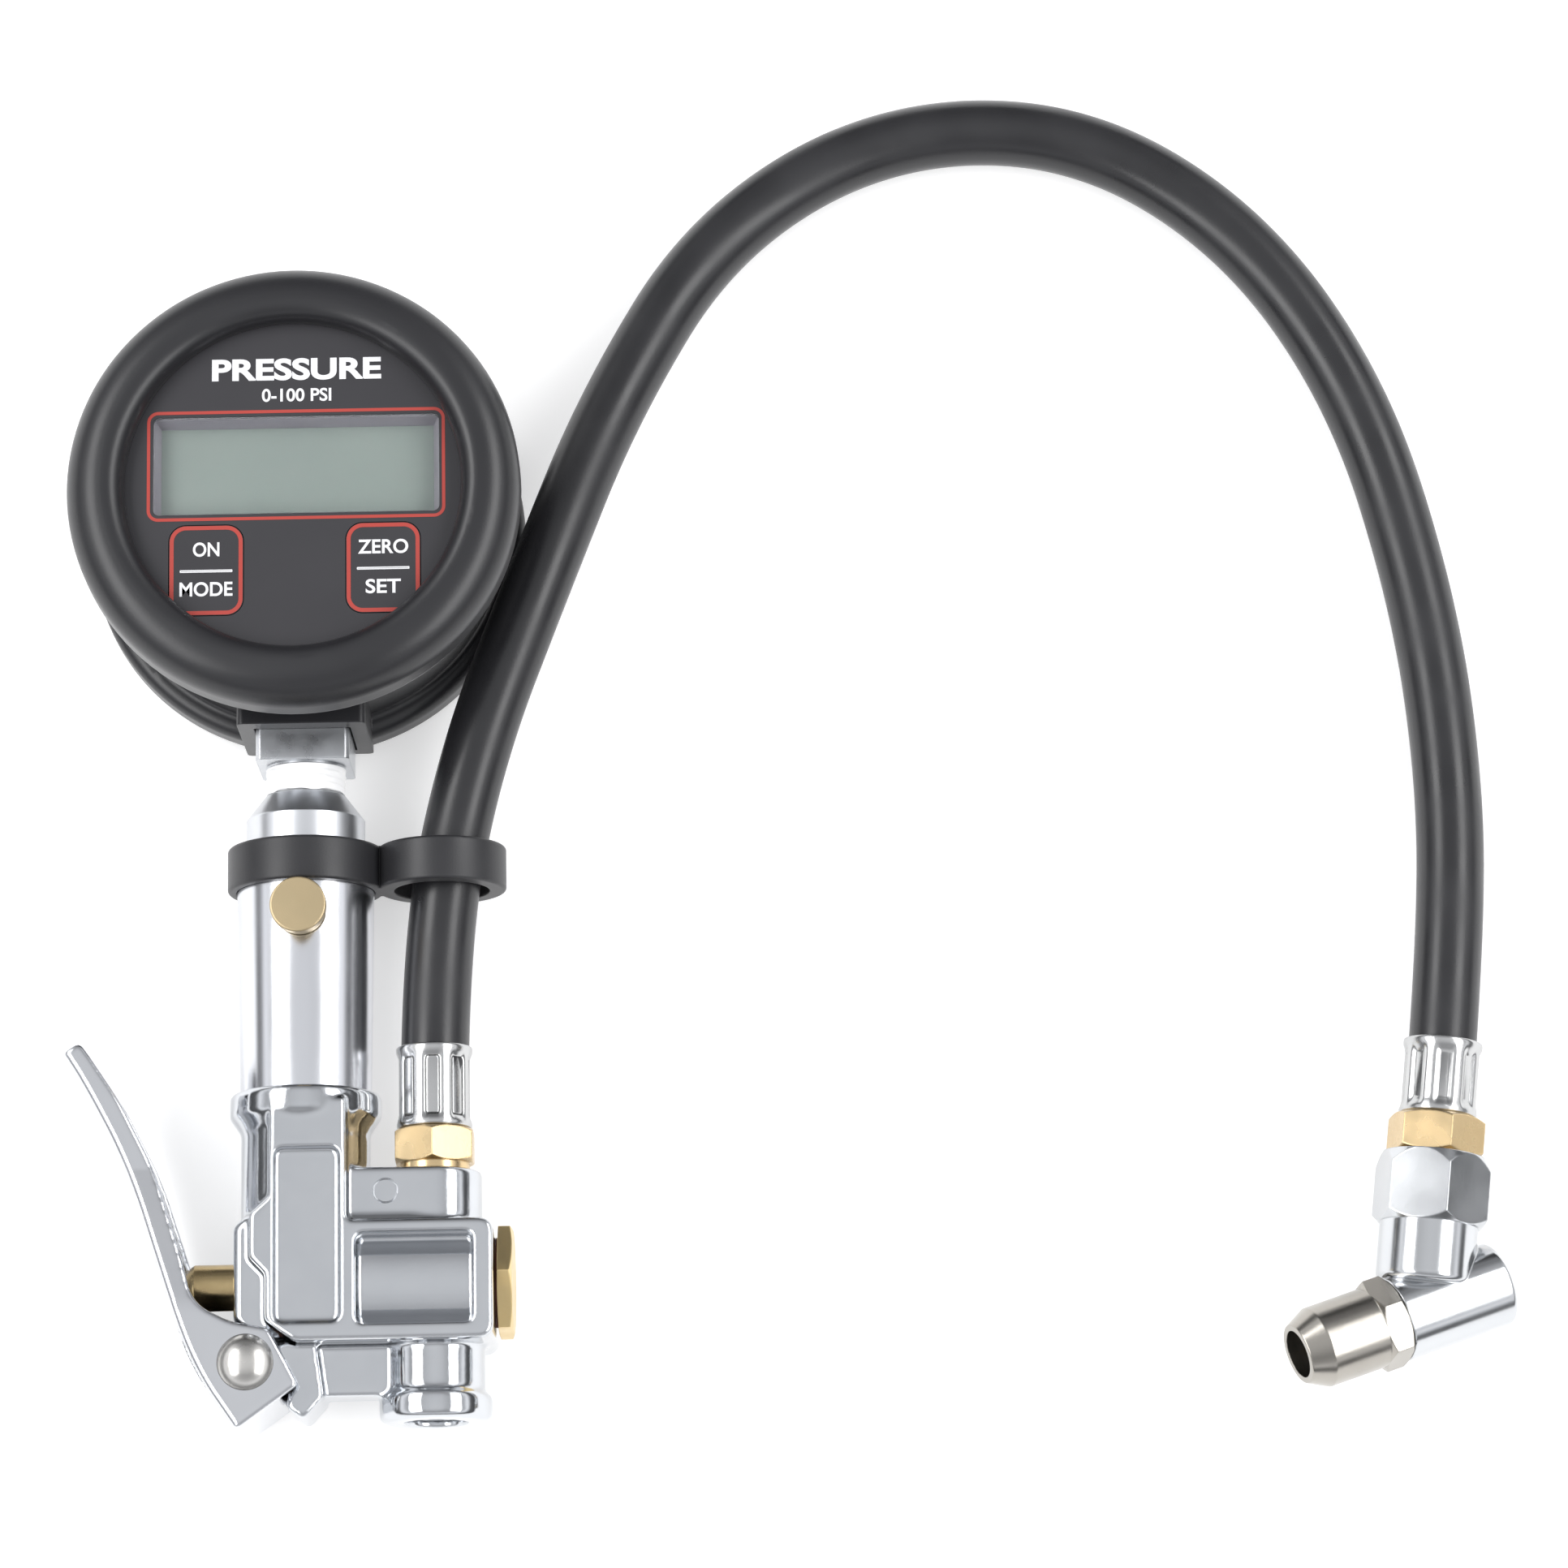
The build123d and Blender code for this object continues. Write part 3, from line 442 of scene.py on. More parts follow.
# Each row in order: colour, second, roughness, spread, patch_mm, grain_mm, grain, wave_mm, wave
# and edge_mm, as Finish describes them. The last ones may be left at their defaults.
FINISHES: dict[str, Finish] = {
    # Moulded rubber of the gauge's boot: near-black and satin, with a faint mould grain.
    "boot_rubber": Rubber(
        "#1b1b1e", "#212124", 0.36, 0.05, 30, 0.35, 0.012, 14, 0.05, 0.4, sheen=0.04
    ),
    # The clip's rubber is a little duller than the boot's, with softer edges.
    "clip_rubber": Rubber(
        "#1d1d20", "#242427", 0.42, 0.05, 18, 0.35, 0.015, 9, 0.04, 0.5, sheen=0.04
    ),
    # Extruded hose cover: smooth along its run with slight handling marks.
    "hose_rubber": Rubber("#1a1a1c", "#252528", 0.33, 0.07, 16, 0.4, 0.012, 22, 0.05, sheen=0.04),
    # O-rings and washers, dull black.
    "seal_rubber": Rubber("#1c1c1d", "#242425", 0.6, 0.05, 6, 0.3, 0.01),
    # Printed polyester face: flat dark violet-grey, fine emboss.
    "panel_print": Finish("#262529", "#2a292d", 0.5, 0.04, 14, 0.25, 0.004),
    "key_print": Finish("#262529", "#2a292d", 0.5, 0.04, 10, 0.25, 0.004, 4, 0.01, 0.15),
    # White and red screen inks, matte.
    "ink_white": Finish("#dcdcde", "#d2d2d5", 0.55, 0.05, 3, 0.2, 0.003),
    "ink_red": Finish("#a8392f", "#9c352e", 0.5, 0.05, 4, 0.2, 0.003),
    # Black moulded case, hidden except at its rim.
    "case_plastic": Finish("#26262a", "#2c2c30", 0.5, 0.04, 12, 0.4, 0.01, edge_mm=0.3),
    # The display's sloping frame in grey plastic.
    "frame_plastic": Finish("#8f8c94", "#858289", 0.45, 0.05, 8, 0.3, 0.004, edge_mm=0.15),
    # Unlit liquid-crystal glass: grey-green with a faint drift.
    "display_glass": Finish("#7c8582", "#868e8a", 0.35, 0.04, 26, 0.3, 0.0015),
    # Clear acrylic pane with a clean surface.
    "window_clear": Clear("#ffffff", "#fbfdfc", 0.03, 0.01),
    # Solder mask on the board, seen only in section.
    "board_green": Finish("#1d4a2c", "#22532f", 0.35, 0.05, 6, 0.4, 0.01),
    # Bright chrome on a polished tube: slightly satin so that lights run in smooth bands.
    "tube_chrome": Metal("#dfe0e4", "#d6d8dd", 0.22, 0.03, 18, 0.6, 0.0015, 16, 0.01, 0.25),
    # Turned and plated adaptor.
    "cap_chrome": Metal("#dcdee1", "#d3d5d9", 0.32, 0.03, 10, 0.5, 0.003, 7, 0.01, 0.3),
    # Cast and plated square stem, a little dull, pitted by its casting.
    "stem_metal": Metal("#d8dadd", "#c8cbcf", 0.3, 0.05, 6, 0.5, 0.004, 5, 0.03, 0.5),
    # Chromed die-casting: mirror-like flats that wave slightly, and edges that break the light.
    "body_chrome": Metal("#d0d2d5", "#c4c7cb", 0.09, 0.04, 9, 0.9, 0.008, 6, 0.035, 0.7),
    # The lever's chrome, polished brighter than the casting.
    "lever_chrome": Metal("#dadbde", "#cfd1d5", 0.1, 0.03, 14, 0.9, 0.004, 12, 0.03, 0.6),
    # Nickel-plated rivet with a soft satin dome.
    "rivet_steel": Metal("#d8d6d2", "#cbc9c5", 0.24, 0.04, 4, 0.4, 0.003),
    # Crimped, chromed ferrules.
    "ferrule_chrome": Metal("#c6c6c6", "#babbbb", 0.22, 0.04, 7, 0.6, 0.005, 4, 0.02, 0.3),
    # The chuck's polished chrome and its satin nose.
    "chuck_chrome": Metal("#cfd1d3", "#c5c7ca", 0.17, 0.03, 12, 0.8, 0.003, 10, 0.015, 0.4),
    "chuck_satin": Metal("#aba7a0", "#a29e97", 0.24, 0.04, 6, 0.35, 0.004, 8, 0.01, 0.3),
    # Machined brass of the two hose fittings: pale and clean.
    "fitting_brass": Metal("#dfc79c", "#ceb387", 0.27, 0.05, 5, 0.4, 0.004, 6, 0.01, 0.45),
    # The plug's brass is browner, with handling tarnish.
    "plug_brass": Metal("#ecd6a4", "#dcc088", 0.34, 0.06, 4, 0.4, 0.006, 5, 0.015, 0.4),
    # The deflator button, faced in a lathe.
    "button_brass": Turned(
        "#bfae8c", "#b5a382", 0.4, 0.04, 5, 0.3, 0.002, edge_mm=0.3, centre=(0.0, -77.0)
    ),
    # Push rod: darkened, oiled brass.
    "plunger_brass": Metal("#cdb88c", "#a8926a", 0.24, 0.05, 4, 0.4, 0.006, 6, 0.01, 0.3),
    # Inner valve parts.
    "valve_brass": Metal("#c9ab6c", "#b7985a", 0.3, 0.05, 4, 0.4, 0.004),
    # Springs, screws and the inlet's screen.
    "spring_steel": Metal("#b5b5b6", "#a5a5a8", 0.28, 0.05, 3, 0.3, 0.004),
    "cell_steel": Metal("#c2c2c2", "#b6b6b8", 0.25, 0.05, 5, 0.4, 0.003),
    "switch_steel": Metal("#b5b5b6", "#a9a9ab", 0.3, 0.05, 3, 0.3, 0.003),
    # Fibre washers, red-brown and matte.
    "fibre": Finish("#6e3b2c", "#5d3126", 0.75, 0.05, 2, 0.3, 0.02),
    # Sealing tape: white, slightly waxy film.
    "tape_white": Finish("#f4f4f3", "#e9e9ea", 0.45, 0.06, 3, 0.5, 0.03, 2, 0.05),
}


class MaterialShop:
    """Makes each finish once, when it is first asked for."""

    def __init__(self) -> None:
        self.made: dict[str, bpy.types.Material] = {}

    def get(self, slot: str) -> bpy.types.Material:
        """Returns the material of a slot.

        Args:
            slot: A key of FINISHES.

        Returns:
            The Blender material.
        """
        if slot not in self.made:
            self.made[slot] = FINISHES[slot].build(slot)
        return self.made[slot]


SHOP = MaterialShop()


# Geometry Nodes that make what repeats


@dataclass
class NodeGroup:
    """A Geometry Nodes group under construction.

    Args:
        name: The group's name.
        sockets: Input names with their socket types and defaults.
    """

    name: str
    sockets: dict[str, tuple[str, float]]
    tree: bpy.types.NodeTree = field(init=False)
    start: bpy.types.Node = field(init=False)
    end: bpy.types.Node = field(init=False)

    def __post_init__(self) -> None:
        self.tree = bpy.data.node_groups.new(self.name, "GeometryNodeTree")
        face = self.tree.interface
        face.new_socket("Geometry", in_out="INPUT", socket_type="NodeSocketGeometry")
        face.new_socket("Geometry", in_out="OUTPUT", socket_type="NodeSocketGeometry")
        for label, (kind, default) in self.sockets.items():
            face.new_socket(label, in_out="INPUT", socket_type=kind).default_value = default
        face.new_socket("Material", in_out="INPUT", socket_type="NodeSocketMaterial")
        self.start = self.tree.nodes.new("NodeGroupInput")
        self.end = self.tree.nodes.new("NodeGroupOutput")

    def close(self, geometry: bpy.types.NodeSocket) -> None:
        """Ends the group in Realize Instances and Set Material."""
        real = add(self.tree, "GeometryNodeRealizeInstances")
        paint = add(self.tree, "GeometryNodeSetMaterial")
        link(self.tree, geometry, real.inputs["Geometry"])
        link(self.tree, real.outputs["Geometry"], paint.inputs["Geometry"])
        link(self.tree, self.start.outputs["Material"], paint.inputs["Material"])
        link(self.tree, paint.outputs["Geometry"], self.end.inputs["Geometry"])

    def math(self, operation: str, *values: object) -> bpy.types.NodeSocket:
        """Adds a math node fed by sockets or numbers and returns its output."""
        made = add(self.tree, "ShaderNodeMath", operation=operation)
        for i, value in enumerate(values):
            if isinstance(value, bpy.types.NodeSocket):
                link(self.tree, value, made.inputs[i])
            else:
                made.inputs[i].default_value = value
        return made.outputs[0]

    def apply(self, piece: bpy.types.Object, values: dict[str, object]) -> None:
        """Runs the group on a piece and keeps the result as its mesh.

        Args:
            piece: The piece to change.
            values: Input values by socket name.
        """
        modifier = piece.modifiers.new(self.name, "NODES")
        modifier.node_group = self.tree
        for item in self.tree.interface.items_tree:
            if item.in_out == "INPUT" and item.name in values:
                modifier[item.identifier] = values[item.name]
        bake(piece)


def ring_stack() -> NodeGroup:
    """A group that stacks equal rings along Z, as the turns of a thread.

    Returns:
        The group, with Count, Pitch, Radius and Wire in metres.
    """
    group = NodeGroup(
        "ring_stack",
        {
            "Count": ("NodeSocketInt", 8),
            "Pitch": ("NodeSocketFloat", 0.001),
            "Radius": ("NodeSocketFloat", 0.005),
            "Wire": ("NodeSocketFloat", 0.0003),
        },
    )
    tree = group.tree
    circle = add(tree, "GeometryNodeCurvePrimitiveCircle", Resolution=72)
    section = add(tree, "GeometryNodeCurvePrimitiveCircle", Resolution=6)
    turn = add(tree, "GeometryNodeCurveToMesh")
    link(tree, group.start.outputs["Radius"], circle.inputs["Radius"])
    link(tree, group.start.outputs["Wire"], section.inputs["Radius"])
    link(tree, circle.outputs["Curve"], turn.inputs["Curve"])
    link(tree, section.outputs["Curve"], turn.inputs["Profile Curve"])
    line = add(tree, "GeometryNodeMeshLine")
    offset = add(tree, "ShaderNodeCombineXYZ")
    link(tree, group.start.outputs["Count"], line.inputs["Count"])
    link(tree, group.start.outputs["Pitch"], offset.inputs["Z"])
    link(tree, offset.outputs[0], line.inputs["Offset"])
    copies = add(tree, "GeometryNodeInstanceOnPoints")
    link(tree, line.outputs["Mesh"], copies.inputs["Points"])
    link(tree, turn.outputs["Mesh"], copies.inputs["Instance"])
    group.close(copies.outputs["Instances"])
    return group


def crimp() -> NodeGroup:
    """A group that presses equal flutes into a sleeve standing on Z.

    Returns:
        The group, with Flutes, Depth, From, To and Inner in metres. Points nearer the axis than
        Inner stay where they are.
    """
    group = NodeGroup(
        "crimp",
        {
            "Flutes": ("NodeSocketFloat", 8.0),
            "Depth": ("NodeSocketFloat", 0.0005),
            "From": ("NodeSocketFloat", 0.0),
            "To": ("NodeSocketFloat", 0.01),
            "Inner": ("NodeSocketFloat", 0.006),
        },
    )
    tree, maths, start = group.tree, group.math, group.start
    split = add(tree, "ShaderNodeSeparateXYZ")
    link(tree, add(tree, "GeometryNodeInputPosition").outputs[0], split.inputs[0])
    x, y, z = (split.outputs[i] for i in range(3))
    radius = maths("SQRT", maths("ADD", maths("MULTIPLY", x, x), maths("MULTIPLY", y, y)))
    turns = maths("COSINE", maths("MULTIPLY", maths("ARCTAN2", y, x), start.outputs["Flutes"]))
    wave = maths("MULTIPLY_ADD", turns, FLUTE_GAIN, FLUTE_BIAS)
    flat = maths("MINIMUM", maths("MAXIMUM", wave, 0.0), 1.0)
    low, high = start.outputs["From"], start.outputs["To"]
    half = maths("MULTIPLY", maths("SUBTRACT", high, low), 0.5)
    middle = maths("MULTIPLY", maths("ADD", high, low), 0.5)
    away = maths("DIVIDE", maths("ABSOLUTE", maths("SUBTRACT", z, middle)), half)
    inside = maths("MULTIPLY", maths("SUBTRACT", 1.0, away), FLUTE_FADE)
    along = maths("MINIMUM", maths("MAXIMUM", inside, 0.0), 1.0)
    outer = maths("GREATER_THAN", radius, start.outputs["Inner"])
    depth = maths("MULTIPLY", start.outputs["Depth"], outer)
    press = maths("MULTIPLY", maths("MULTIPLY", flat, along), depth)
    factor = maths("DIVIDE", press, maths("MAXIMUM", radius, 1e-6))
    shift = add(tree, "ShaderNodeCombineXYZ")
    link(tree, maths("MULTIPLY", maths("MULTIPLY", x, factor), -1.0), shift.inputs["X"])
    link(tree, maths("MULTIPLY", maths("MULTIPLY", y, factor), -1.0), shift.inputs["Y"])
    move = add(tree, "GeometryNodeSetPosition")
    link(tree, start.outputs["Geometry"], move.inputs["Geometry"])
    link(tree, shift.outputs[0], move.inputs["Offset"])
    group.close(move.outputs["Geometry"])
    return group


def settle(piece: bpy.types.Object, axis: Axis3) -> None:
    """Moves a mesh made on Z, in metres, on to an axis, leaving the object at the origin."""
    place = axis.matrix()
    place.translation *= MM
    piece.data.transform(place)
    piece.data.update()


# Sub-assemblies


@dataclass(frozen=True)
class Word:
    """A printed word.

    Args:
        text: The letters.
        centre: Its middle in plan.
        width: Its full width.
        height: Its capital height.
        bold: How far its strokes are thickened.
    """

    text: str
    centre: tuple[float, float]
    width: float
    height: float
    bold: float = 0.0

    def build(self, name: str, body: str, low_z: float) -> bpy.types.Object:
        """Makes the word as a thin solid of ink and returns it."""
        curve = bpy.data.curves.new(name, "FONT")
        curve.body = self.text
        curve.align_x = "CENTER"
        curve.extrude = INK_HEIGHT / 2
        curve.offset = self.bold
        curve.resolution_u = 6
        holder = bpy.data.objects.new(name, curve)
        bpy.context.scene.collection.objects.link(holder)
        bpy.context.view_layer.update()
        graph = bpy.context.evaluated_depsgraph_get()
        mesh = bpy.data.meshes.new_from_object(holder.evaluated_get(graph))
        bpy.data.objects.remove(holder)
        bm = bmesh.new()
        bm.from_mesh(mesh)
        bpy.data.meshes.remove(mesh)
        bmesh.ops.remove_doubles(bm, verts=bm.verts[:], dist=1e-5)
        points = np.array([v.co for v in bm.verts])
        low, high = points.min(0), points.max(0)
        for vertex in bm.verts:
            part = (np.array(vertex.co) - low) / (high - low)
            vertex.co.x = self.centre[0] + (part[0] - 0.5) * self.width
            vertex.co.y = self.centre[1] + (part[1] - 0.5) * self.height
            vertex.co.z = low_z + part[2] * INK_HEIGHT
        return finish_piece(new_object(name, bm, INK_SHARP), body, "ink_white")


def rounded_loop(
    centre: tuple[float, float], size: tuple[float, float], corner: float
) -> list[Vector]:
    """Points round a rectangle with rounded corners, anticlockwise, in plan."""
    points = []
    half_x, half_y = size[0] / 2 - corner, size[1] / 2 - corner
    for quarter, (sx, sy) in enumerate(((1, 1), (-1, 1), (-1, -1), (1, -1))):
        for step in range(CORNER_STEPS + 1):
            angle = math.pi / 2 * (quarter + step / CORNER_STEPS)
            points.append(
                Vector(
                    (
                        centre[0] + sx * half_x + corner * math.cos(angle),
                        centre[1] + sy * half_y + corner * math.sin(angle),
                        0.0,
                    )
                )
            )
    return points


@dataclass(frozen=True)
class Outline:
    """A printed rounded frame.

    Args:
        centre: Its middle in plan.
        size: Its outer width and height.
        corner: Its outer corner radius.
        line: Its line width.
    """

    centre: tuple[float, float]
    size: tuple[float, float]
    corner: float
    line: float

    def build(self, name: str, body: str, slot: str, low_z: float) -> bpy.types.Object:
        """Makes the frame as a thin solid of ink and returns it."""
        inner_size = (self.size[0] - 2 * self.line, self.size[1] - 2 * self.line)
        outer = rounded_loop(self.centre, self.size, self.corner)
        inner = rounded_loop(self.centre, inner_size, self.corner - self.line)
        high_z = low_z + INK_HEIGHT
        bm = bmesh.new()
        rows = []
        for loop, z in ((outer, low_z), (outer, high_z), (inner, high_z), (inner, low_z)):
            rows.append([bm.verts.new((p.x, p.y, z)) for p in loop])
        count = len(outer)
        for r, near in enumerate(rows):
            far = rows[(r + 1) % len(rows)]
            for i in range(count):
                j = (i + 1) % count
                bm.faces.new((near[i], near[j], far[j], far[i]))
        return finish_piece(new_object(name, bm, INK_SHARP), body, slot)


@dataclass
class GaugeFace:
    """Everything printed on the face and its two keys."""

    ink_z: float = FACE_TOP_Z + 0.01

    def build(self) -> None:
        """Makes the words, the display's outline and the keys' outlines."""
        title = Word("PRESSURE", (0.7, 22.4), width=31.5, height=4.3, bold=0.035)
        title.build("print_title", ROOT_BODY, self.ink_z)
        span = Word("0-100 PSI", (0.7, 17.4), width=12.9, height=2.55, bold=0.02)
        span.build("print_range", ROOT_BODY, self.ink_z)
        display = Outline((0.6, 3.95), (55.3, 21.2), corner=2.1, line=0.6)
        display.build("print_display", ROOT_BODY, "ink_red", self.ink_z)
        self.key("mode_key", MODE_CENTRE, ("ON", 4.9), ("MODE", 9.8))
        self.key("set_key", SET_CENTRE, ("ZERO", 9.3), ("SET", 6.5))

    def key(
        self,
        body: str,
        centre: tuple[float, float],
        upper: tuple[str, float],
        lower: tuple[str, float],
    ) -> None:
        """Prints one key: two words with a line between them and a red outline.

        Args:
            body: The key's body.
            centre: The key's middle in plan.
            upper: The upper word and its width.
            lower: The lower word and its width.
        """
        x, y = centre
        z = self.ink_z
        size = (KEY_SIZE[0] - 0.2, KEY_SIZE[1] - 0.2)
        Outline(centre, size, KEY_CORNER - 0.1, 0.75).build(f"{body}_outline", body, "ink_red", z)
        for part, (text, width), rise in (("upper", upper, 4.0), ("lower", lower, -3.6)):
            word = Word(text, (x, y + rise), width, KEY_WORD_HEIGHT, bold=0.02)
            word.build(f"{body}_{part}", body, z)
        rule = Outline((x, y - 0.15), (9.7, 0.5), corner=0.12, line=0.119)
        rule.build(f"{body}_line", body, "ink_white", z)
        core = Outline((x, y - 0.15), (9.46, 0.27), corner=0.1, line=0.099)
        core.build(f"{body}_line_core", body, "ink_white", z)


@dataclass
class ThreadTape:
    """The sealing tape: overlapping turns with a frayed lower edge."""

    turns: int = 4

    def build(self) -> None:
        """Makes the wound sleeve."""
        bm = bmesh.new()
        place = HANDLE.matrix()
        segments, rows = 96, 26
        rings = []
        for step in range(segments):
            angle = math.tau * step / segments
            ring = []
            for row in range(rows + 1):
                part = row / rows
                fray = 0.16 * math.sin(5 * angle + 1.0) + 0.1 * math.sin(11 * angle)
                station = TAPE_START + part * (5.0 + (fray * part - 0.12))
                lap = (part * self.turns + angle / math.tau) % 1.0
                radius = 7.38 + 0.2 * (1 - lap) ** 2 + 0.05 * math.sin(3 * angle + 9 * part)
                point = Vector((radius * math.cos(angle), radius * math.sin(angle), station))
                ring.append(bm.verts.new(place @ point))
            for station in (TAPE_END, TAPE_START):
                x = TAPE_INNER_RADIUS * math.cos(angle)
                y = TAPE_INNER_RADIUS * math.sin(angle)
                ring.append(bm.verts.new(place @ Vector((x, y, station))))
            rings.append(ring)
        count = len(rings[0])
        for step in range(segments):
            near, far = rings[step], rings[(step + 1) % segments]
            for i in range(count):
                j = (i + 1) % count
                bm.faces.new((near[i], near[j], far[j], far[i]))
        finish_piece(new_object("tape_winding", bm, 60), ROOT_BODY, "tape_white", ["thread_tape"])


@dataclass
class Ferrule:
    """A crimped sleeve with pressed flutes.

    Args:
        node: The CAD node that it stands for.
        axis: Its axis.
        start: The station of its mouth.
        end: The station of its closed end.
        radius: Its outer radius between the flares.
    """

    node: str
    axis: Axis3
    start: float
    end: float
    radius: float

    def profile(self) -> list[tuple[float, float]]:
        """The sleeve's section, from the mouth's inside round to the bore again."""
        r, a, b = self.radius, self.start, self.end
        points = [(FERRULE_BORE, a + 0.1), (6.5, a), (r + 0.2, a), (r + 0.35, a + 0.15)]
        points += [(r + 0.38, a + 0.6), (r + 0.32, a + 1.1), (r + 0.1, a + 1.7), (r, a + 2.3)]
        steps = 24
        first, last = a + 2.3, b - 2.6
        points += [(r, first + (last - first) * i / steps) for i in range(1, steps + 1)]
        points += [(r + 0.12, b - 2.0), (r + 0.3, b - 1.4), (r + 0.32, b - 0.8)]
        points += [(r + 0.2, b - 0.25), (r - 0.1, b), (FERRULE_NECK, b)]
        points += [(FERRULE_NECK, b - FERRULE_WALL), (FERRULE_BORE, b - FERRULE_WALL)]
        return points

    def build(self, group: NodeGroup) -> bpy.types.Object:
        """Turns the sleeve and crimps it.

        Args:
            group: The crimping node group.

        Returns:
            The finished piece.
        """
        upright = Axis3((0.0, 0.0, 0.0), (0.0, 0.0, 1.0))
        piece = lathe(f"{self.node}_crimped", upright, self.profile(), 160)
        group.apply(
            piece,
            {
                "Flutes": 8.0,
                "Depth": 0.5 * MM,
                "From": (self.start + 1.6) * MM,
                "To": (self.end - 1.0) * MM,
                "Inner": 6.55 * MM,
                "Material": SHOP.get("ferrule_chrome"),
            },
        )
        settle(piece, self.axis)
        smooth(piece, 50)
        return finish_piece(piece, ROOT_BODY, "ferrule_chrome", [self.node])


@dataclass(frozen=True)
class SoftEdged:
    """A cast or pressed piece whose edges have been worn round by polishing.

    Args:
        name: The piece's name.
        node: The CAD node that it is made from and stands for.
        body: The body that it moves with.
        slot: The record's material slot.
        cell_mm: The size of its mesh.
        passes: How many times its edges are eased.
    """

    name: str
    node: str
    body: str
    slot: str
    cell_mm: float
    passes: int

    def build(self) -> bpy.types.Object:
        """Remeshes the node's shape evenly, eases it, and returns the piece."""
        source = frame["nodes"][self.node]
        piece = bpy.data.objects.new(self.name, source.data.copy())
        piece.data.transform(source.matrix_world)
        bpy.context.scene.collection.objects.link(piece)
        remesh = piece.modifiers.new("even", "REMESH")
        remesh.mode = "VOXEL"
        remesh.voxel_size = self.cell_mm * MM
        ease = piece.modifiers.new("ease", "SMOOTH")
        ease.factor = 0.5
        ease.iterations = self.passes
        bake(piece)
        self.shape(piece.data)
        smooth(piece, 180)
        LOG.info("%s has %d faces", self.name, len(piece.data.polygons))
        return finish_piece(piece, self.body, self.slot, [self.node])

    def shape(self, mesh: bpy.types.Mesh) -> None:
        """Reshapes the eased mesh. A casting needs nothing more."""


@dataclass(frozen=True)
class PressedLever(SoftEdged):
    """The lever, whose back is bent round into its side walls.

    Args:
        back: Points down the back's edge in plan, in millimetres.
        bend_mm: The bend's outer radius.
        stations: Distances down the handle at which the half width is known.
        half_widths: The lever's half width at each of those.
    """

    back: tuple[tuple[float, float], ...] = (
        (-44.4, -102.2),
        (-40.6, -108.2),
        (-32.6, -123.6),
        (-26.3, -143.0),
        (-20.3, -160.8),
        (-12.0, -172.9),
    )
    bend_mm: float = 1.5
    stations: tuple[float, ...] = (100.0, 124.0, 150.0)
    half_widths: tuple[float, ...] = (8.0, 8.0, 11.5)

    def from_back(self, plan: np.ndarray) -> np.ndarray:
        """Measures each point's distance from the back's edge.

        Args:
            plan: Points in plan, in millimetres.

        Returns:
            One distance for each point.
        """
        line = np.array(self.back)
        for _ in range(4):  # corner cutting, which turns the points into a smooth curve
            near = 0.75 * line[:-1] + 0.25 * line[1:]
            far = 0.25 * line[:-1] + 0.75 * line[1:]
            cut = np.stack([near, far], 1).reshape(-1, 2)
            line = np.concatenate([line[:1], cut, line[-1:]])
        nearest = np.full(len(plan), np.inf)
        for first, last in zip(line, line[1:]):
            run = last - first
            part = np.clip((plan - first) @ run / (run @ run), 0.0, 1.0)
            gap = plan - first - part[:, None] * run
            nearest = np.minimum(nearest, np.hypot(gap[:, 0], gap[:, 1]))
        return nearest

    def shape(self, mesh: bpy.types.Mesh) -> None:
        """Bends the side walls down into the back."""
        flat = np.empty(len(mesh.vertices) * 3, np.float32)
        mesh.vertices.foreach_get("co", flat)
        points = flat.reshape(-1, 3) / MM
        half = np.interp(-points[:, 1], self.stations, self.half_widths)
        short = np.clip(self.bend_mm - self.from_back(points[:, :2]), 0.0, self.bend_mm * 0.98)
        limit = half - self.bend_mm + np.sqrt(self.bend_mm**2 - short**2)
        points[:, 2] = AXIS_Z + np.clip(points[:, 2] - AXIS_Z, -limit, limit)
        mesh.vertices.foreach_set("co", (points * MM).astype(np.float32).ravel())
        mesh.update()


@dataclass
class CastMark:
    """The small round mark cast into the hose port's face."""

    def build(self) -> bpy.types.Object:
        """Makes the mark's raised rim and returns it."""
        axis = Axis3((15.3, -129.0, AXIS_Z + 8.7), (0.0, 0.0, 1.0))
        rim = [(2.0, 0.0), (2.4, 0.0), (2.38, 0.12), (2.2, 0.2), (2.02, 0.12)]
        return finish_piece(lathe("cast_mark", axis, rim, 64), ROOT_BODY, "body_chrome")


@dataclass
class InletThread:
    """The turns cut in the air inlet."""

    def build(self, group: NodeGroup) -> None:
        """Stacks the turns inside the inlet's bore.

        Args:
            group: The ring-stacking node group.
        """
        seed = bmesh.new()  # the group puts its turns in this one's place
        bmesh.ops.create_circle(seed, segments=3, radius=1.0)
        piece = new_object("inlet_thread", seed)
        group.apply(
            piece,
            {
                "Count": 8,
                "Pitch": 1.32 * MM,
                "Radius": 5.7 * MM,
                "Wire": 0.32 * MM,
                "Material": SHOP.get("body_chrome"),
            },
        )
        settle(piece, Axis3((PORT_X, -INLET_STATION, AXIS_Z), (0.0, -1.0, 0.0)))
        smooth(piece, 50)
        finish_piece(piece, ROOT_BODY, "body_chrome")


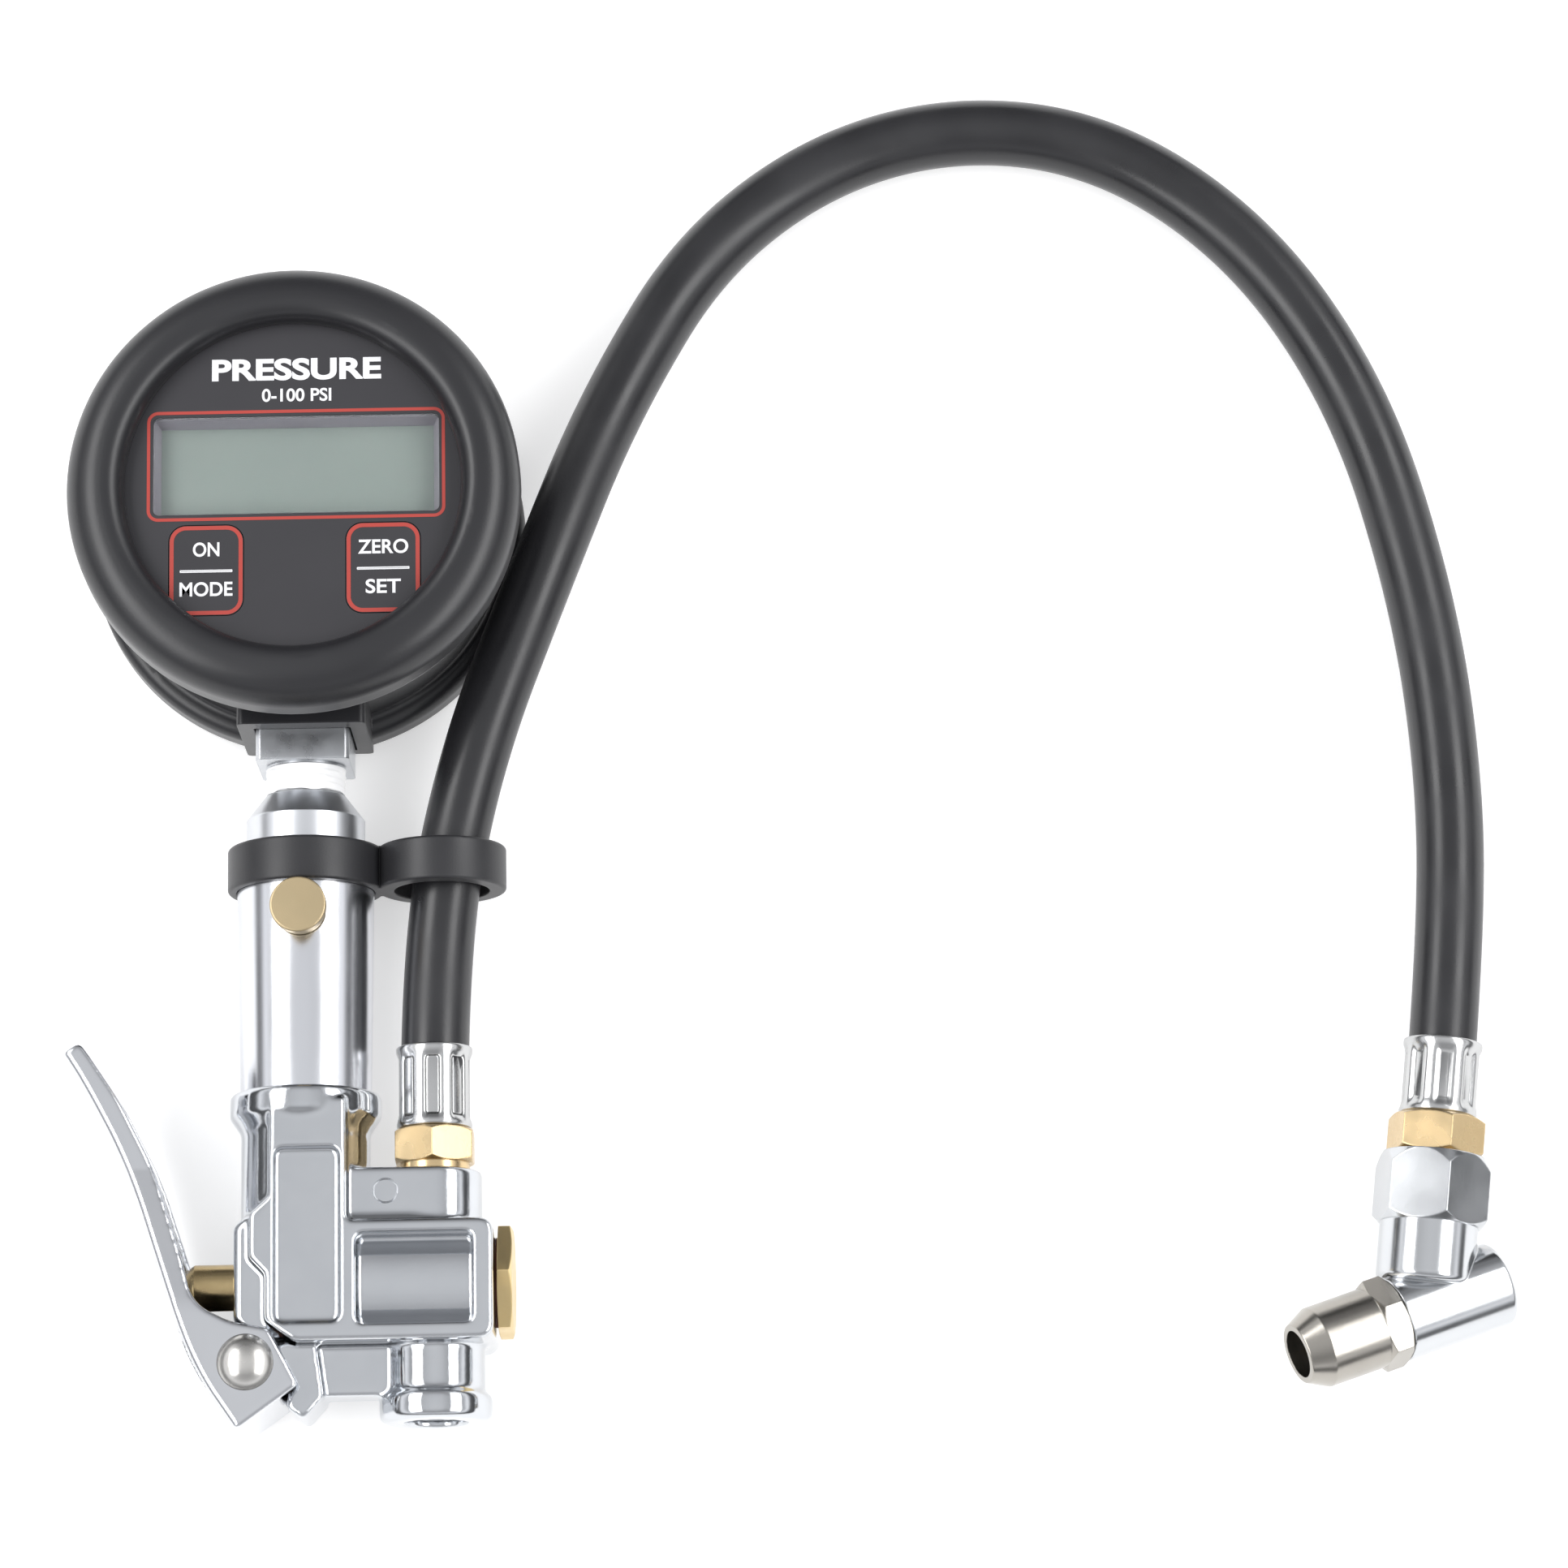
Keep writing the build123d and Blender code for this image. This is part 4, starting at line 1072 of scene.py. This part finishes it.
@dataclass
class Hose:
    """The rubber hose with its two crimped ends, the far one on the chuck."""

    def build(self, group: NodeGroup) -> None:
        """Args:
            group: The crimping node group.
        """
        near = Ferrule(
            "body_ferrule", PORT, PORT_FERRULE_START, PORT_FERRULE_END, radius=6.75
        ).build(group)
        far = Ferrule("chuck_ferrule", CHUCK, 0.0, FERRULE_LENGTH, radius=7.0).build(group)
        curve = bpy.data.curves.new("hose_cover", "CURVE")
        curve.dimensions = "3D"
        curve.bevel_depth = HOSE_DIAMETER / 2 * MM
        curve.bevel_resolution = 12
        curve.use_fill_caps = True
        spline = curve.splines.new("NURBS")
        spline.points.add(len(HOSE_ROUTE) - 1)
        for point, place in zip(spline.points, HOSE_ROUTE):
            point.co = (place[0] * MM, place[1] * MM, place[2] * MM, 1.0)
        spline.order_u = 3
        spline.use_endpoint_u = True
        spline.resolution_u = 24
        hose = bpy.data.objects.new("hose_cover", curve)
        bpy.context.scene.collection.objects.link(hose)
        finish_piece(hose, ROOT_BODY, "hose_rubber", ["hose"])


@dataclass
class CadFinishes:
    """Gives every CAD node that stays visible its slot's material."""

    def build(self) -> None:
        """Puts each node's material in place."""
        slots = {row["node"]: row["material_slot"] for row in frame["record"]["subparts"]}
        for name, node in frame["nodes"].items():
            node.data.materials.clear()
            node.data.materials.append(SHOP.get(slots[name]))


# Studio


@dataclass(frozen=True)
class Softbox:
    """A rectangular studio light.

    Args:
        name: The light's name.
        place: Its centre, in metres.
        aim: The point that it faces, in metres.
        size: Its width and length, in metres.
        power: Its power, in watts.
    """

    name: str
    place: tuple[float, float, float]
    aim: tuple[float, float, float]
    size: tuple[float, float]
    power: float

    def build(self) -> None:
        """Adds the light."""
        lamp = bpy.data.lights.new(self.name, "AREA")
        lamp.shape = "RECTANGLE"
        lamp.size, lamp.size_y = self.size
        lamp.energy = self.power
        holder = bpy.data.objects.new(self.name, lamp)
        bpy.context.scene.collection.objects.link(holder)
        holder.location = self.place
        back = (Vector(self.place) - Vector(self.aim)).normalized()
        right = Vector((0, 1, 0)).cross(back).normalized()
        turn = Matrix((right, back.cross(right), back)).transposed()
        holder.rotation_euler = turn.to_euler()


@dataclass
class Studio:
    """A pale floor, a grey room and two long softboxes either side of the camera."""

    boxes: tuple[Softbox, ...] = (
        Softbox("box_left", (-0.85, -0.05, 1.05), (0.05, -0.03, 0.0), (0.55, 1.9), 17.0),
        Softbox("box_right", (1.05, -0.05, 1.05), (0.1, -0.03, 0.0), (0.55, 1.9), 17.0),
    )

    def build(self) -> None:
        """Makes the floor, the world and the lights."""
        for box in self.boxes:
            box.build()
        self.floor()
        self.world()

    def floor(self) -> None:
        """Lays the floor under the tool's lowest point."""
        bm = bmesh.new()
        bmesh.ops.create_grid(bm, x_segments=1, y_segments=1, size=2500)
        floor = new_object("floor", bm)
        material = bpy.data.materials.new("floor_paper")
        material.use_nodes = True
        shader = material.node_tree.nodes["Principled BSDF"]
        shader.inputs["Base Color"].default_value = linear("#d4d4d4")
        shader.inputs["Roughness"].default_value = 0.9
        shader.inputs["Emission Color"].default_value = (1.0, 1.0, 1.0, 1.0)
        shader.inputs["Emission Strength"].default_value = 0.5
        floor.data.materials.append(material)

    def world(self) -> None:
        """Lights the room: light grey overhead, a bright ring, and dark low walls and far end."""
        world = bpy.data.worlds.new("room")
        bpy.context.scene.world = world
        world.use_nodes = True
        tree = world.node_tree
        sky = tree.nodes["Background"]
        split = add(tree, "ShaderNodeSeparateXYZ")
        link(tree, add(tree, "ShaderNodeTexCoord").outputs["Generated"], split.inputs[0])
        ramp = add(tree, "ShaderNodeValToRGB")
        band = ramp.color_ramp  # by how far up a ray looks, 0 level and 1 straight up
        band.elements[0].position, band.elements[0].color = 0.0, (0.3, 0.31, 0.33, 1.0)
        band.elements[1].position, band.elements[1].color = 1.0, (0.84, 0.85, 0.87, 1.0)
        for position, level in ((0.05, 0.1), (0.2, 0.16), (0.34, 1.25), (0.5, 0.6), (0.75, 0.42)):
            band.elements.new(position).color = (level, level * 1.01, level * 1.04, 1.0)
        link(tree, split.outputs[2], ramp.inputs["Fac"])
        shade = add(tree, "ShaderNodeMapRange", interpolation_type="SMOOTHSTEP")
        shade.inputs["From Min"].default_value = 0.72
        shade.inputs["From Max"].default_value = 0.9
        shade.inputs["To Min"].default_value = 1.0
        shade.inputs["To Max"].default_value = 0.25
        link(tree, split.outputs[1], shade.inputs["Value"])
        dim = add(tree, "ShaderNodeVectorMath", operation="SCALE")
        link(tree, ramp.outputs["Color"], dim.inputs[0])
        link(tree, shade.outputs["Result"], dim.inputs["Scale"])
        link(tree, dim.outputs[0], sky.inputs["Color"])
        sky.inputs["Strength"].default_value = 1.0


@dataclass(frozen=True)
class MainCamera:
    """The camera over the tool, tipped a little so that the handle's end faces it.

    Args:
        place: Its position, in metres.
        right: The image's right.
        up: The image's up.
        lens: Its focal length over a 36 mm sensor.
    """

    place: tuple[float, float, float] = (0.08524, -0.3008, 1.064)
    right: tuple[float, float, float] = (0.9998, -0.0193, 0.0)
    up: tuple[float, float, float] = (0.0188, 0.9727, 0.2312)
    lens: float = 131.37

    def build(self) -> None:
        """Adds the camera and makes it the scene's."""
        data = bpy.data.cameras.new("camera")
        data.lens = self.lens
        data.sensor_width = 36.0
        data.clip_end = 20.0
        camera = bpy.data.objects.new("camera", data)
        bpy.context.scene.collection.objects.link(camera)
        right = Vector(self.right).normalized()
        up = Vector(self.up).normalized()
        back = right.cross(up).normalized()
        turn = Matrix((right, back.cross(right), back)).transposed().to_4x4()
        camera.matrix_world = Matrix.Translation(Vector(self.place)) @ turn
        bpy.context.scene.camera = camera
        bpy.context.scene.view_settings.view_transform = "Standard"


def main() -> None:
    """Builds the looks in order: finishes, then each sub-assembly, then the studio."""
    logging.basicConfig(level=logging.INFO)
    CadFinishes().build()
    GaugeFace().build()
    ThreadTape().build()
    InletThread().build(ring_stack())
    CastMark().build()
    SoftEdged(
        "body_cast", "valve_body", ROOT_BODY, "body_chrome", cell_mm=0.42, passes=8
    ).build()
    PressedLever(
        "lever_pressed", "lever", "lever", "lever_chrome", cell_mm=0.36, passes=8
    ).build()
    Hose().build(crimp())
    Studio().build()
    MainCamera().build()


if __name__ == "__main__":
    main()
